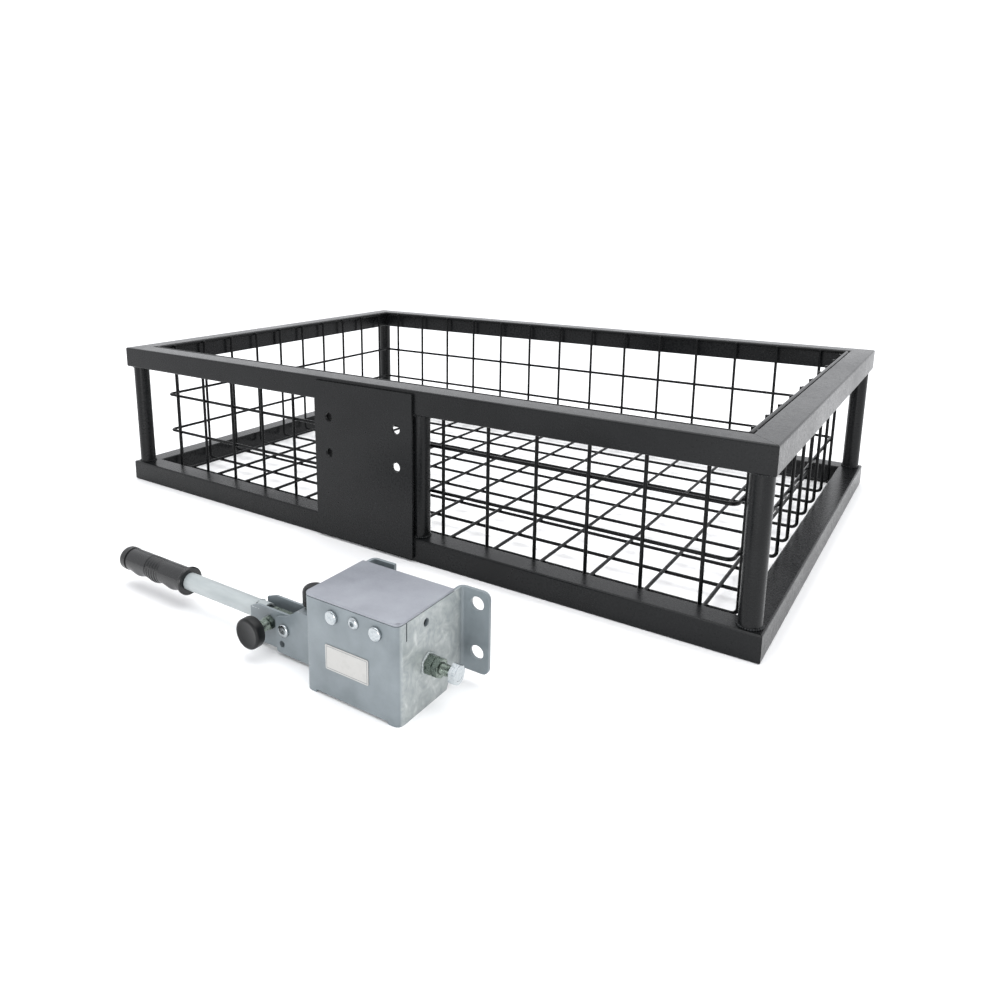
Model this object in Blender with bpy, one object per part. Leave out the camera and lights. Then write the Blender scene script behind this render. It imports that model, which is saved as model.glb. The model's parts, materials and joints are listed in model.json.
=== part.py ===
"""Hitch cargo carrier: an open steel basket, and the tow-ball coupling that bolts to its front plate.

The basket stands on the floor. Its origin is under the middle of the front lower rail, +X runs along the
basket, +Y away from the car and +Z up. The coupling lies on the floor in front, turned as it is when fitted.
"""

import math

import bmesh
import bpy
from mathutils import Matrix, Vector

MM = 0.001
GAP = 0.3 * MM
OVERRUN = 5 * MM
ROUND_SIDES = 24
SMALL_SIDES = 16

# Basket frame: mitred box-section rails on round posts.
BASKET_LENGTH = 1125 * MM
BASKET_DEPTH = 750 * MM
BASKET_HEIGHT = 250 * MM
RAIL_HEIGHT = 35 * MM
RAIL_WIDTH = 35 * MM
RAIL_WALL = 2 * MM
RAIL_CORNER = 2.5 * MM
FACE_AHEAD = 12.5 * MM
POST_DIAMETER = 26.9 * MM
POST_WALL = 1.5 * MM

# Plate that takes the coupling, with the four bolt holes.
PLATE_MARGIN = 28 * MM
PLATE_THICKNESS = 4 * MM
PLATE_EDGE = 5 * MM
PLATE_CORNER = 2 * MM
BOLT_SPACING_X = 126 * MM
BOLT_SPACING_Z = 55 * MM
BOLT_CENTRE_DROP = 86 * MM
PLATE_HOLE = 14 * MM

# Welded wire liner.
WIRE = 5 * MM
RIM_WIRE = 6 * MM
RIM_GAP = 1 * MM
WIRE_SINK = 0.25 * MM
LONG_SPACING = 74 * MM
LONG_MARGIN = 81.5 * MM
SHORT_SPACING = 67 * MM
SHORT_MARGIN = 73.5 * MM
RING_SHARES = (0.368, 0.64)
FLOOR_HEIGHT = 20 * MM
TIP_DROP = 2 * MM
RIM_DROP = 3 * MM
TACK_INSET = 60 * MM

# Coupling housing, one bent sheet with two flanges, and its cover. Local x runs from the left wall,
# y from the front wall and z from the underside.
HOUSING_DEPTH = 113 * MM
HOUSING_HEIGHT = 105 * MM
SHEET = 4 * MM
BEND_RADIUS = 5 * MM
FLANGE_HOLE_OFFSET = 18.5 * MM
LEFT_HOLE_OFFSET = 14.5 * MM
RIGHT_FLANGE = 33 * MM
LEFT_FLANGE = 32 * MM
FLANGE_CORNER = 8 * MM
FLANGE_HOLE = 16 * MM
HOLE_CENTRE_Z = 62.5 * MM
FLANGE_FOOT = 12 * MM
FOOT_WIDTH = 14 * MM
FOOT_HEIGHT = 3 * MM
COVER_DEPTH = 94 * MM
COVER_THICKNESS = 3 * MM
COVER_CORNER = 7 * MM
LABEL_SIZE = (56 * MM, 27 * MM)
LABEL_SHIFT = 4 * MM
LABEL_CENTRE_Z = 46.5 * MM
LABEL_THICKNESS = 0.6 * MM

# Tow ball that the jaws close on, and the pins that they hang from.
BALL_DIAMETER = 50 * MM
BALL_CLEARANCE = 0.5 * MM
BALL_SHIFT = 6 * MM
BALL_Z = 45 * MM
JAW_SPREAD = 56 * MM
JAW_PIN_Z = 92 * MM
JAW_PIN = 12 * MM
JAW_BOSS = 10 * MM
JAW_WIDTH = 28 * MM
JAW_NECK = 16 * MM
JAW_FOOT_Z = 22 * MM
PIN_HEAD = 15 * MM
PIN_HEAD_HEIGHT = 3.5 * MM
SEAT_WIDTH = 28 * MM
SEAT_BOTTOM = 66 * MM
SEAT_TOP = 100 * MM
SEAT_SCREW = 6 * MM
SEAT_SCREW_Z = 94 * MM
SUPPORT_Y = 76 * MM
SUPPORT_BOTTOM = 60 * MM
RING_DIAMETER = 20 * MM
RING_THICKNESS = 1.2 * MM

# Adjusting bolt through the right wall, with its weld nut and lock nut.
BOLT = 12 * MM
BOLT_Z = 47 * MM
BOLT_STANDOUT = 30 * MM
HEX_FLATS = 19 * MM
HEAD_HEIGHT = 8 * MM
WELD_NUT = 10 * MM
LOCK_NUT = 7 * MM

# Lever arm: a bracket around the handle's channel, turning with the left jaw.
ARM_SHEET = 4 * MM
ARM_TOP = 62 * MM
ARM_FOOT = 4 * MM
ARM_SLOT_CLEARANCE = 2 * MM
SLOT_TOP = 97 * MM
FOLD_X = -59 * MM
FOLD_Z = 34 * MM
FOLD_PIN = 12 * MM
ARM_END = 14 * MM
BRIDGE_LEFT = -40 * MM
BRIDGE_RIGHT = -8 * MM
TONGUE = 6 * MM
PADLOCK_HOLE = 8 * MM
PADLOCK_Z = 15.5 * MM

# Folding handle.
CHANNEL_SHEET = 3 * MM
CHANNEL_TOP = 50 * MM
CHANNEL_BOTTOM = 5 * MM
CHANNEL_LEFT = -118 * MM
CHANNEL_NOSE = 13 * MM
TUBE = 22 * MM
TUBE_WALL = 2 * MM
TUBE_START = -104 * MM
TUBE_END = -366 * MM
GRIP_START = -244 * MM
GRIP_END = -374 * MM
GRIP_WALL = 4 * MM
GRIP_FLANGE = 3 * MM
GRIP_WAVE = 3.5 * MM

# Sprung plunger that locks the handle straight out.
PLUNGER_RADIUS = 27 * MM
PLUNGER_PIN = 8 * MM
PLUNGER_TRAVEL = 7 * MM
SLEEVE_FLATS = 15 * MM
SLEEVE_NUT = 6 * MM
SLEEVE = 14 * MM
SLEEVE_BORE = 11.6 * MM
SLEEVE_LENGTH = 18 * MM
SLEEVE_LIP = 2 * MM
SLEEVE_COLLAR = 2 * MM
KNOB = 36 * MM
KNOB_THICKNESS = 12 * MM
KNOB_STANDOUT = 17.1 * MM
SPRING_WIRE = 1 * MM

# Latch button on the arm's bridge.
LATCH_X = -30 * MM
LATCH_CAP = 27 * MM
LATCH_TOP = 88 * MM
LATCH_TRAVEL = 4 * MM
LATCH_GUIDE = 22 * MM
LATCH_STEM = 8 * MM
LATCH_FOOT = 50 * MM
CLIP = 14 * MM
CLIP_THICKNESS = 1.5 * MM

# Where the coupling lies, as the place of its local origin ahead of the basket's front face.
PARKED_X = 185 * MM
PARKED_AHEAD = 315 * MM

# Derived places of the basket.
FRONT_Y = -FACE_AHEAD
BACK_Y = FRONT_Y + BASKET_DEPTH
MIDDLE_Y = (FRONT_Y + BACK_Y) / 2
LEFT_X = -BASKET_LENGTH / 2
RIGHT_X = BASKET_LENGTH / 2
PLATE_WIDTH = BOLT_SPACING_X + 2 * PLATE_MARGIN
BOLT_CENTRE_Z = BASKET_HEIGHT - BOLT_CENTRE_DROP
RING_HEIGHTS = [share * BASKET_HEIGHT for share in RING_SHARES]
RIM_INSET = RAIL_WIDTH + RIM_GAP + RIM_WIRE / 2
WIRE_INSET = RIM_INSET + RIM_WIRE / 2 + WIRE / 2 - WIRE_SINK
RING_INSET = WIRE_INSET + WIRE - WIRE_SINK
CROSS_HEIGHT = FLOOR_HEIGHT - WIRE + WIRE_SINK
FLOOR_INSET = WIRE_INSET + WIRE / 2 + GAP

# Derived places of the coupling.
ARM_Y = 47 * MM
HOUSING_WIDTH = BOLT_SPACING_X + LEFT_HOLE_OFFSET - FLANGE_HOLE_OFFSET
LABEL_CENTRE = (HOUSING_WIDTH / 2 - LABEL_SHIFT, LABEL_CENTRE_Z)
BALL_X = HOUSING_WIDTH / 2 + BALL_SHIFT
LEFT_PIN_X = BALL_X - JAW_SPREAD / 2
RIGHT_PIN_X = BALL_X + JAW_SPREAD / 2
JAW_BACK = HOUSING_WIDTH - SHEET - 8 * MM - BALL_X
SEAT_RADIUS = BALL_DIAMETER / 2 + BALL_CLEARANCE
ARM_WIDTH = TUBE + 2 * (ARM_SHEET + CHANNEL_SHEET) + 2 * MM
CHANNEL_WIDTH = ARM_WIDTH - 2 * ARM_SHEET - 2 * GAP - 0.2 * MM
PLUNGER_X = FOLD_X - PLUNGER_RADIUS
PADLOCK_X = FOLD_X - 5 * MM
CHANNEL_FRONT = ARM_Y - CHANNEL_WIDTH / 2
SLEEVE_BACK = CHANNEL_FRONT - GAP
SLEEVE_FRONT = SLEEVE_BACK - SLEEVE_LENGTH
KNOB_FRONT = SLEEVE_FRONT - KNOB_STANDOUT
PIN_FRONT = KNOB_FRONT + 3 * MM
TONGUE_FRONT = ARM_Y - TONGUE / 2
PIN_TIP = TONGUE_FRONT - 0.7 * MM
SHOULDER = SLEEVE_BACK - SLEEVE_LIP - PLUNGER_TRAVEL - SLEEVE_COLLAR - GAP
BOLT_TIP = BALL_X + JAW_BACK + GAP
BOLT_REACH = HOUSING_WIDTH + BOLT_STANDOUT
GRIP_DIAMETER = TUBE + 2 * GRIP_WALL
GRIP_COLLAR = GRIP_DIAMETER + 2 * GRIP_FLANGE
PARKED = Vector((PARKED_X, FRONT_Y - PARKED_AHEAD, 0))

FINISHES = {
    "black_powder_coat": ((0.022, 0.022, 0.024), 0.35, 0.3),
    "grey_paint": ((0.33, 0.36, 0.38), 0.42, 0.3),
    "zinc": ((0.56, 0.58, 0.58), 0.3, 0.9),
    "black_plastic": ((0.02, 0.02, 0.022), 0.45, 0.0),
    "grip_vinyl": ((0.05, 0.052, 0.055), 0.5, 0.0),
    "label_foil": ((0.8, 0.8, 0.79), 0.4, 0.0),
    "forged_steel": ((0.2, 0.2, 0.2), 0.5, 0.9),
}


def clear_scene():
    for old in list(bpy.data.objects):
        bpy.data.objects.remove(old, do_unlink=True)


def holder(name, place, parent=None):
    """An empty on a body's axis or origin. Shapes are drawn in the parent's frame and hung on it."""
    empty = bpy.data.objects.new(name, None)
    bpy.context.scene.collection.objects.link(empty)
    empty.empty_display_size = 0.03
    origin = Vector(place)
    if parent is not None:
        empty.parent = parent
        origin = origin - Vector(parent["origin"])
    empty.location = origin
    empty["origin"] = list(place)
    return empty


def hang(name, shape, where):
    """An object from a bmesh drawn in the frame of the holder's assembly, with its origin on the holder."""
    bmesh.ops.remove_doubles(shape, verts=shape.verts, dist=1e-7)
    bmesh.ops.recalc_face_normals(shape, faces=shape.faces)
    mesh = bpy.data.meshes.new(name)
    shape.to_mesh(mesh)
    shape.free()
    mesh.transform(Matrix.Translation(-Vector(where["origin"])))
    made = bpy.data.objects.new(name, mesh)
    bpy.context.scene.collection.objects.link(made)
    made.parent = where
    return made


def finished(made, finish, smooth=True):
    colour, roughness, metallic = FINISHES[finish]
    material = bpy.data.materials.new(f"{made.name}_{finish}")
    material.use_nodes = True
    shader = material.node_tree.nodes["Principled BSDF"]
    shader.inputs["Base Color"].default_value = (*colour, 1)
    shader.inputs["Roughness"].default_value = roughness
    shader.inputs["Metallic"].default_value = metallic
    made.data.materials.append(material)
    if smooth:
        made.data.shade_smooth()
        made.data.set_sharp_from_angle(angle=math.radians(35))
    return made


def boolean(made, shape, operation="DIFFERENCE"):
    """Cuts a shape out of an object, or joins it on."""
    tool_name = f"{made.name}_{operation.lower()}_{len(made.modifiers)}"
    tool = bpy.data.objects.new(tool_name, bpy.data.meshes.new(tool_name))
    bmesh.ops.remove_doubles(shape, verts=shape.verts, dist=1e-7)
    bmesh.ops.recalc_face_normals(shape, faces=shape.faces)
    shape.to_mesh(tool.data)
    shape.free()
    tool.data.transform(Matrix.Translation(-Vector(made.parent["origin"])))
    bpy.context.scene.collection.objects.link(tool)
    tool.parent = made.parent
    tool.hide_render = True
    tool.display_type = "WIRE"
    modifier = made.modifiers.new(operation.title(), "BOOLEAN")
    modifier.operation = operation
    modifier.solver = "EXACT"
    modifier.object = tool
    return made


def box(low, high, shape=None):
    shape = shape or bmesh.new()
    low, high = Vector(low), Vector(high)
    place = Matrix.Translation((low + high) / 2) @ Matrix.Diagonal((*(high - low), 1))
    bmesh.ops.create_cube(shape, size=1, matrix=place)
    return shape


AXIS_TURNS = {
    "X": Matrix.Rotation(math.pi / 2, 4, "Y"),
    "Y": Matrix.Rotation(-math.pi / 2, 4, "X"),
    "Z": Matrix.Identity(4),
}


def turned(axis, centre, profile, sides=ROUND_SIDES):
    """A solid of revolution about an axis through centre. The profile is (radius, place on the axis)."""
    shape = bmesh.new()
    rings = []
    for radius, along in profile:
        if radius == 0:
            rings.append([shape.verts.new((0, 0, along))])
            continue
        angles = [2 * math.pi * (i + 0.5) / sides for i in range(sides)]
        rings.append([shape.verts.new((radius * math.cos(a), radius * math.sin(a), along)) for a in angles])
    closed = profile[0][0] != 0
    pairs = list(zip(rings, rings[1:] + rings[:1] if closed else rings[1:]))
    for first, second in pairs:
        for i in range(sides):
            corners = [first[i % len(first)], first[(i + 1) % len(first)]]
            corners += [second[(i + 1) % len(second)], second[i % len(second)]]
            shape.faces.new(list(dict.fromkeys(corners)))
    bmesh.ops.transform(shape, matrix=Matrix.Translation(centre) @ AXIS_TURNS[axis], verts=shape.verts)
    return shape


def cylinder(axis, centre, diameter, low, high, sides=ROUND_SIDES):
    """A plain cylinder. low and high are absolute places along its axis."""
    base = Vector(centre)
    base["XYZ".index(axis)] = 0
    return turned(axis, base, [(0, low), (diameter / 2, low), (diameter / 2, high), (0, high)], sides)


def pipe(axis, centre, outer, inner, low, high, sides=ROUND_SIDES):
    base = Vector(centre)
    base["XYZ".index(axis)] = 0
    profile = [(inner / 2, low), (outer / 2, low), (outer / 2, high), (inner / 2, high)]
    return turned(axis, base, profile, sides)


def hexagon(axis, centre, flats, low, high):
    base = Vector(centre)
    base["XYZ".index(axis)] = 0
    radius = flats / math.sqrt(3)
    return turned(axis, base, [(0, low), (radius, low), (radius, high), (0, high)], 6)


def prism(outline, plane, low, high):
    """An outline drawn in a plane ("XZ", "YZ" or "XY") and extruded across it from low to high."""
    across = ({"X", "Y", "Z"} - set(plane)).pop()
    shape = bmesh.new()
    rings = []
    for level in (low, high):
        ring = []
        for point in outline:
            place = {plane[0]: point[0], plane[1]: point[1], across: level}
            ring.append(shape.verts.new((place["X"], place["Y"], place["Z"])))
        rings.append(ring)
        shape.faces.new(ring)
    for i in range(len(outline)):
        j = (i + 1) % len(outline)
        shape.faces.new((rings[0][i], rings[0][j], rings[1][j], rings[1][i]))
    return shape


def arc(centre, radius, start, end, steps):
    """Points on an arc, from a start angle to an end angle in degrees."""
    found = []
    for i in range(steps + 1):
        angle = math.radians(start + (end - start) * i / steps)
        found.append((centre[0] + radius * math.cos(angle), centre[1] + radius * math.sin(angle)))
    return found


def rounded_rectangle(low, high, radius, steps=3):
    (x0, z0), (x1, z1) = low, high
    found = arc((x1 - radius, z0 + radius), radius, -90, 0, steps)
    found += arc((x1 - radius, z1 - radius), radius, 0, 90, steps)
    found += arc((x0 + radius, z1 - radius), radius, 90, 180, steps)
    return found + arc((x0 + radius, z0 + radius), radius, 180, 270, steps)


# ---- Basket frame


def rail(name, side, low_z, basket):
    """A box-section rail with mitred ends. Its profile runs inward from the basket's outer face."""
    long_side = side in ("front", "back")
    half = (BASKET_LENGTH if long_side else BASKET_DEPTH) / 2
    outer = rounded_rectangle((0, low_z), (RAIL_WIDTH, low_z + RAIL_HEIGHT), RAIL_CORNER)
    inner_low = (RAIL_WALL, low_z + RAIL_WALL)
    inner_high = (RAIL_WIDTH - RAIL_WALL, low_z + RAIL_HEIGHT - RAIL_WALL)
    inner = rounded_rectangle(inner_low, inner_high, RAIL_CORNER - RAIL_WALL / 2)

    def place(along, inset, height):
        if side == "front":
            return (along, FRONT_Y + inset, height)
        if side == "back":
            return (along, BACK_Y - inset, height)
        if side == "left":
            return (LEFT_X + inset, MIDDLE_Y + along, height)
        return (RIGHT_X - inset, MIDDLE_Y + along, height)

    shape = bmesh.new()
    loops = {}
    for end in (-1, 1):
        for which, profile in (("outer", outer), ("inner", inner)):
            reach = [end * (half - inset - GAP) for inset, _ in profile]
            corners = [place(u, a, z) for u, (a, z) in zip(reach, profile)]
            loops[which, end] = [shape.verts.new(corner) for corner in corners]
    count = len(outer)
    for i in range(count):
        j = (i + 1) % count
        for which in ("outer", "inner"):
            near, far = loops[which, -1], loops[which, 1]
            shape.faces.new((near[i], near[j], far[j], far[i]))
        for end in (-1, 1):
            rim, bore = loops["outer", end], loops["inner", end]
            shape.faces.new((rim[i], rim[j], bore[j], bore[i]))
    return finished(hang(name, shape, basket), "black_powder_coat")


def post(name, x, y, basket):
    low = RAIL_HEIGHT + GAP
    high = BASKET_HEIGHT - RAIL_HEIGHT - GAP
    inner = POST_DIAMETER - 2 * POST_WALL
    tube = pipe("Z", (x, y, 0), POST_DIAMETER, inner, low, high)
    return finished(hang(name, tube, basket), "black_powder_coat")


def mounting_plate(basket):
    back = FRONT_Y - GAP
    low, high = (-PLATE_WIDTH / 2, PLATE_EDGE), (PLATE_WIDTH / 2, BASKET_HEIGHT - PLATE_EDGE)
    outline = rounded_rectangle(low, high, PLATE_CORNER, 2)
    plate = hang("mounting_plate", prism(outline, "XZ", back - PLATE_THICKNESS, back), basket)
    for x in (-BOLT_SPACING_X / 2, BOLT_SPACING_X / 2):
        for dz in (-BOLT_SPACING_Z / 2, BOLT_SPACING_Z / 2):
            low_y, high_y = back - PLATE_THICKNESS - OVERRUN, back + OVERRUN
            boolean(plate, cylinder("Y", (x, 0, BOLT_CENTRE_Z + dz), PLATE_HOLE, low_y, high_y))
    return finished(plate, "black_powder_coat")


def frame(basket):
    for level, low_z in (("bottom", 0), ("top", BASKET_HEIGHT - RAIL_HEIGHT)):
        for side in ("front", "back", "left", "right"):
            rail(f"{level}_rail_{side}", side, low_z, basket)
    inset = RAIL_WIDTH / 2
    for x, side in ((LEFT_X + inset, "left"), (RIGHT_X - inset, "right")):
        post(f"corner_post_front_{side}", x, FRONT_Y + inset, basket)
        post(f"corner_post_back_{side}", x, BACK_Y - inset, basket)
    for x, side in ((-PLATE_WIDTH / 2, "left"), (PLATE_WIDTH / 2, "right")):
        post(f"inner_post_{side}", x, FRONT_Y + inset, basket)


# ---- Wire liner, one flat welded grid for each side and one for the floor


def spaced(length, margin, spacing):
    """Even places about the middle of a side, as close to the spacing as the side allows."""
    span = length - 2 * margin
    gaps = round(span / spacing)
    return [span * (i / gaps - 0.5) for i in range(gaps + 1)]


def long_places():
    return spaced(BASKET_LENGTH, LONG_MARGIN, LONG_SPACING)


def short_places():
    return spaced(BASKET_DEPTH, SHORT_MARGIN, SHORT_SPACING)


def grid(name, uprights, crossings, basket):
    """Welded bars: two sets of square bars that sink into each other where they cross."""
    first, second = bmesh.new(), bmesh.new()
    for low, high in uprights:
        box(low, high, first)
    for low, high in crossings:
        box(low, high, second)
    panel = hang(name, first, basket)
    boolean(panel, second, "UNION")
    return finished(panel, "black_powder_coat", smooth=False)


def side_panel(name, side, basket):
    """Uprights with two mid rings inside them, a rim outside them, and a tack to the rail near each end."""
    long_side = side in ("front", "back")
    length = BASKET_LENGTH if long_side else BASKET_DEPTH
    middle = 0 if long_side else MIDDLE_Y
    outer_face = {"front": FRONT_Y, "back": BACK_Y, "left": LEFT_X, "right": RIGHT_X}[side]
    inward = 1 if side in ("front", "left") else -1
    places = long_places() if long_side else short_places()

    def bar(along, insets, heights):
        depth = sorted(outer_face + inward * inset for inset in insets)
        if long_side:
            return (along[0], depth[0], heights[0]), (along[1], depth[1], heights[1])
        return (depth[0], middle + along[0], heights[0]), (depth[1], middle + along[1], heights[1])

    def around(centre, size):
        return (centre - size / 2, centre + size / 2)

    tips = (CROSS_HEIGHT - WIRE / 2, BASKET_HEIGHT - TIP_DROP)
    uprights = [bar(around(u, WIRE), around(WIRE_INSET, WIRE), tips) for u in places]
    rim_end = RIM_INSET - RIM_WIRE / 2 if long_side else RIM_INSET + RIM_WIRE / 2 + GAP
    ring_end = RING_INSET - WIRE / 2 if long_side else RING_INSET + WIRE / 2 + GAP
    reach = length / 2
    rim_height = BASKET_HEIGHT - RIM_DROP
    rim_span, ring_span = (rim_end - reach, reach - rim_end), (ring_end - reach, reach - ring_end)
    crossings = [bar(rim_span, around(RIM_INSET, RIM_WIRE), around(rim_height, RIM_WIRE))]
    for height in RING_HEIGHTS:
        crossings.append(bar(ring_span, around(RING_INSET, WIRE), around(height, WIRE)))
    for end in (-1, 1):
        tack = around(end * (reach - TACK_INSET), 2 * WIRE)
        insets = (RAIL_WIDTH + GAP, RIM_INSET - RIM_WIRE / 2 + WIRE_SINK)
        uprights.append(bar(tack, insets, around(rim_height, WIRE)))
    return grid(name, uprights, crossings, basket)


def floor_panel(basket):
    across = []
    for x in long_places():
        low = (x - WIRE / 2, FRONT_Y + FLOOR_INSET, FLOOR_HEIGHT - WIRE / 2)
        across.append((low, (x + WIRE / 2, BACK_Y - FLOOR_INSET, FLOOR_HEIGHT + WIRE / 2)))
    along = []
    for y in short_places():
        low = (LEFT_X + FLOOR_INSET, MIDDLE_Y + y - WIRE / 2, CROSS_HEIGHT - WIRE / 2)
        along.append((low, (RIGHT_X - FLOOR_INSET, MIDDLE_Y + y + WIRE / 2, CROSS_HEIGHT + WIRE / 2)))
    return grid("liner_floor", across, along, basket)


# ---- Coupling housing


def bent_strip(path, radius, thickness, low, high):
    """A bent sheet standing upright: a path in plan with rounded bends, thickened to both sides."""
    sides = ([], [])
    last = len(path) - 1
    for i, point in enumerate(path):
        here = Vector(point)
        if i in (0, last):
            along = (Vector(path[1]) - here if i == 0 else here - Vector(path[last - 1])).normalized()
            left = Vector((-along.y, along.x))
            sides[0].append(here + left * thickness / 2)
            sides[1].append(here - left * thickness / 2)
            continue
        before = (here - Vector(path[i - 1])).normalized()
        after = (Vector(path[i + 1]) - here).normalized()
        turn = math.copysign(1, before.cross(after))
        centre = here + (after - before) * radius
        start = math.degrees(math.atan2(before.x * -turn, before.y * turn))
        for angle_step in range(5):
            angle = math.radians(start + turn * 90 * angle_step / 4)
            ray = Vector((math.cos(angle), math.sin(angle)))
            sides[0].append(centre + ray * (radius - turn * thickness / 2))
            sides[1].append(centre + ray * (radius + turn * thickness / 2))
    outline = sides[0] + sides[1][::-1]
    return prism([tuple(p) for p in outline], "XY", low, high)


def corner_cut(x, z, radius, toward_x, toward_z, low, high):
    """The cutter that rounds one corner of an upright plate. x and z are the sharp corner."""
    centre = (x - toward_x * radius, z - toward_z * radius)
    start = {(1, 1): 0, (1, -1): -90}[toward_x, toward_z]
    outline = arc(centre, radius, start, start + 90, 4)
    reach = OVERRUN
    if toward_z > 0:
        outline += [(centre[0], z + reach), (x + reach, z + reach), (x + reach, centre[1])]
    else:
        outline += [(x + reach, centre[1]), (x + reach, z - reach), (centre[0], z - reach)]
    return prism(outline, "XZ", low, high)


def housing(coupling):
    half = SHEET / 2
    back = HOUSING_DEPTH - half
    right = HOUSING_WIDTH - half
    flange_end = HOUSING_WIDTH + RIGHT_FLANGE
    path = [(LEFT_FLANGE, back), (half, back), (half, half), (right, half), (right, back), (flange_end, back)]
    shell = hang("coupling_housing", bent_strip(path, BEND_RADIUS, SHEET, 0, HOUSING_HEIGHT), coupling)
    slot_half = ARM_WIDTH / 2 + ARM_SLOT_CLEARANCE
    slot_low = (-OVERRUN, ARM_Y - slot_half, -OVERRUN)
    boolean(shell, box(slot_low, (SHEET + OVERRUN, ARM_Y + slot_half, SLOT_TOP)))
    rise_start = HOUSING_DEPTH - 33 * MM
    rise_end = HOUSING_DEPTH - 9 * MM
    beyond = HOUSING_DEPTH + OVERRUN
    rise = [(rise_start, -OVERRUN), (beyond, -OVERRUN), (beyond, FLANGE_FOOT), (rise_end, FLANGE_FOOT)]
    rise += [(rise_start + 4 * MM, FLANGE_FOOT - 5 * MM), (rise_start, 0)]
    boolean(shell, prism(rise, "YZ", -OVERRUN, flange_end + OVERRUN))
    feet = (FOOT_WIDTH, -OVERRUN, -OVERRUN), (HOUSING_WIDTH - FOOT_WIDTH, SHEET + OVERRUN, FOOT_HEIGHT)
    boolean(shell, box(*feet))
    cut_y = (HOUSING_DEPTH - SHEET - OVERRUN, HOUSING_DEPTH + OVERRUN)
    boolean(shell, corner_cut(flange_end, HOUSING_HEIGHT, FLANGE_CORNER, 1, 1, *cut_y))
    boolean(shell, corner_cut(flange_end, FLANGE_FOOT, FLANGE_CORNER, 1, -1, *cut_y))
    hole_x = HOUSING_WIDTH + FLANGE_HOLE_OFFSET
    for x in (hole_x - BOLT_SPACING_X, hole_x):
        for dz in (-BOLT_SPACING_Z / 2, BOLT_SPACING_Z / 2):
            boolean(shell, cylinder("Y", (x, 0, HOLE_CENTRE_Z + dz), FLANGE_HOLE, *cut_y))
    through = (-OVERRUN, SHEET + OVERRUN)
    for x in (LEFT_PIN_X, RIGHT_PIN_X):
        boolean(shell, cylinder("Y", (x, 0, JAW_PIN_Z), JAW_PIN + 2 * GAP, *through))
    boolean(shell, cylinder("Y", (BALL_X, 0, SEAT_SCREW_Z), SEAT_SCREW + 2 * GAP, *through, SMALL_SIDES))
    wall = (HOUSING_WIDTH - SHEET - OVERRUN, HOUSING_WIDTH + OVERRUN)
    boolean(shell, cylinder("X", (0, ARM_Y, BOLT_Z), BOLT + 2 * GAP, *wall))
    boolean(shell, cylinder("X", (0, ARM_Y - 2 * MM, JAW_PIN_Z), 9 * MM, *wall, SMALL_SIDES))
    slit = (wall[0], 12 * MM, HOUSING_HEIGHT - 19 * MM), (wall[1], 14 * MM, HOUSING_HEIGHT + OVERRUN)
    boolean(shell, box(*slit))
    return finished(shell, "grey_paint")


def top_cover(coupling):
    low = HOUSING_HEIGHT + GAP
    outline = arc((HOUSING_WIDTH - COVER_CORNER, COVER_CORNER), COVER_CORNER, -90, 0, 4)
    outline += [(HOUSING_WIDTH, COVER_DEPTH), (0, COVER_DEPTH)]
    outline += arc((COVER_CORNER, COVER_CORNER), COVER_CORNER, 180, 270, 4)
    cover = hang("top_cover", prism(outline, "XY", low, low + COVER_THICKNESS), coupling)
    bevel = cover.modifiers.new("Edge", "BEVEL")
    bevel.width = 0.6 * MM
    bevel.segments = 2
    bevel.limit_method = "ANGLE"
    return finished(cover, "grey_paint")


def support_plate(coupling):
    low = (SHEET + GAP, SUPPORT_Y + GAP, SUPPORT_BOTTOM)
    high = (HOUSING_WIDTH - SHEET - GAP, SUPPORT_Y + GAP + SHEET, HOUSING_HEIGHT - GAP)
    plate = hang("pin_support_plate", box(low, high), coupling)
    for x in (LEFT_PIN_X, RIGHT_PIN_X):
        bore = cylinder("Y", (x, 0, JAW_PIN_Z), JAW_PIN + 2 * GAP, low[1] - OVERRUN, high[1] + OVERRUN)
        boolean(plate, bore)
    return finished(plate, "grey_paint")


def ball_seat(coupling):
    low = (BALL_X - SEAT_WIDTH / 2, SHEET + GAP, SEAT_BOTTOM)
    seat = hang("ball_seat", box(low, (BALL_X + SEAT_WIDTH / 2, SUPPORT_Y, SEAT_TOP)), coupling)
    boolean(seat, ball_cutter())
    depth = SHEET + 20 * MM
    boolean(seat, cylinder("Y", (BALL_X, 0, SEAT_SCREW_Z), SEAT_SCREW + 2 * GAP, 0, depth, SMALL_SIDES))
    return finished(seat, "forged_steel")


def ball_cutter():
    shape = bmesh.new()
    place = Matrix.Translation((BALL_X, ARM_Y, BALL_Z))
    bmesh.ops.create_uvsphere(shape, u_segments=24, v_segments=14, radius=SEAT_RADIUS, matrix=place)
    return shape


def seat_screw(coupling):
    radius, head, socket = SEAT_SCREW / 2, 6.5 * MM, 2.6 * MM
    profile = [(0, -GAP - 1.2 * MM), (socket, -GAP - 1.2 * MM), (socket, -GAP - 3 * MM)]
    profile += [(head - 2 * MM, -GAP - 3 * MM), (head, -GAP - 1 * MM), (head, -GAP)]
    profile += [(radius, -GAP), (radius, SHEET + 18 * MM), (0, SHEET + 18 * MM)]
    screw = hang("seat_screw", turned("Y", (BALL_X, 0, SEAT_SCREW_Z), profile, SMALL_SIDES), coupling)
    return finished(screw, "zinc")


def jaw_pin(name, x, coupling):
    radius, head, end = JAW_PIN / 2, PIN_HEAD / 2, SUPPORT_Y + SHEET + 5 * MM
    profile = [(0, -GAP - PIN_HEAD_HEIGHT), (head - 1 * MM, -GAP - PIN_HEAD_HEIGHT)]
    profile += [(head, -GAP - PIN_HEAD_HEIGHT + 1 * MM), (head, -GAP), (radius, -GAP)]
    profile += [(radius, end - 1 * MM), (radius - 1 * MM, end), (0, end)]
    return finished(hang(name, turned("Y", (x, 0, JAW_PIN_Z), profile), coupling), "zinc")


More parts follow.
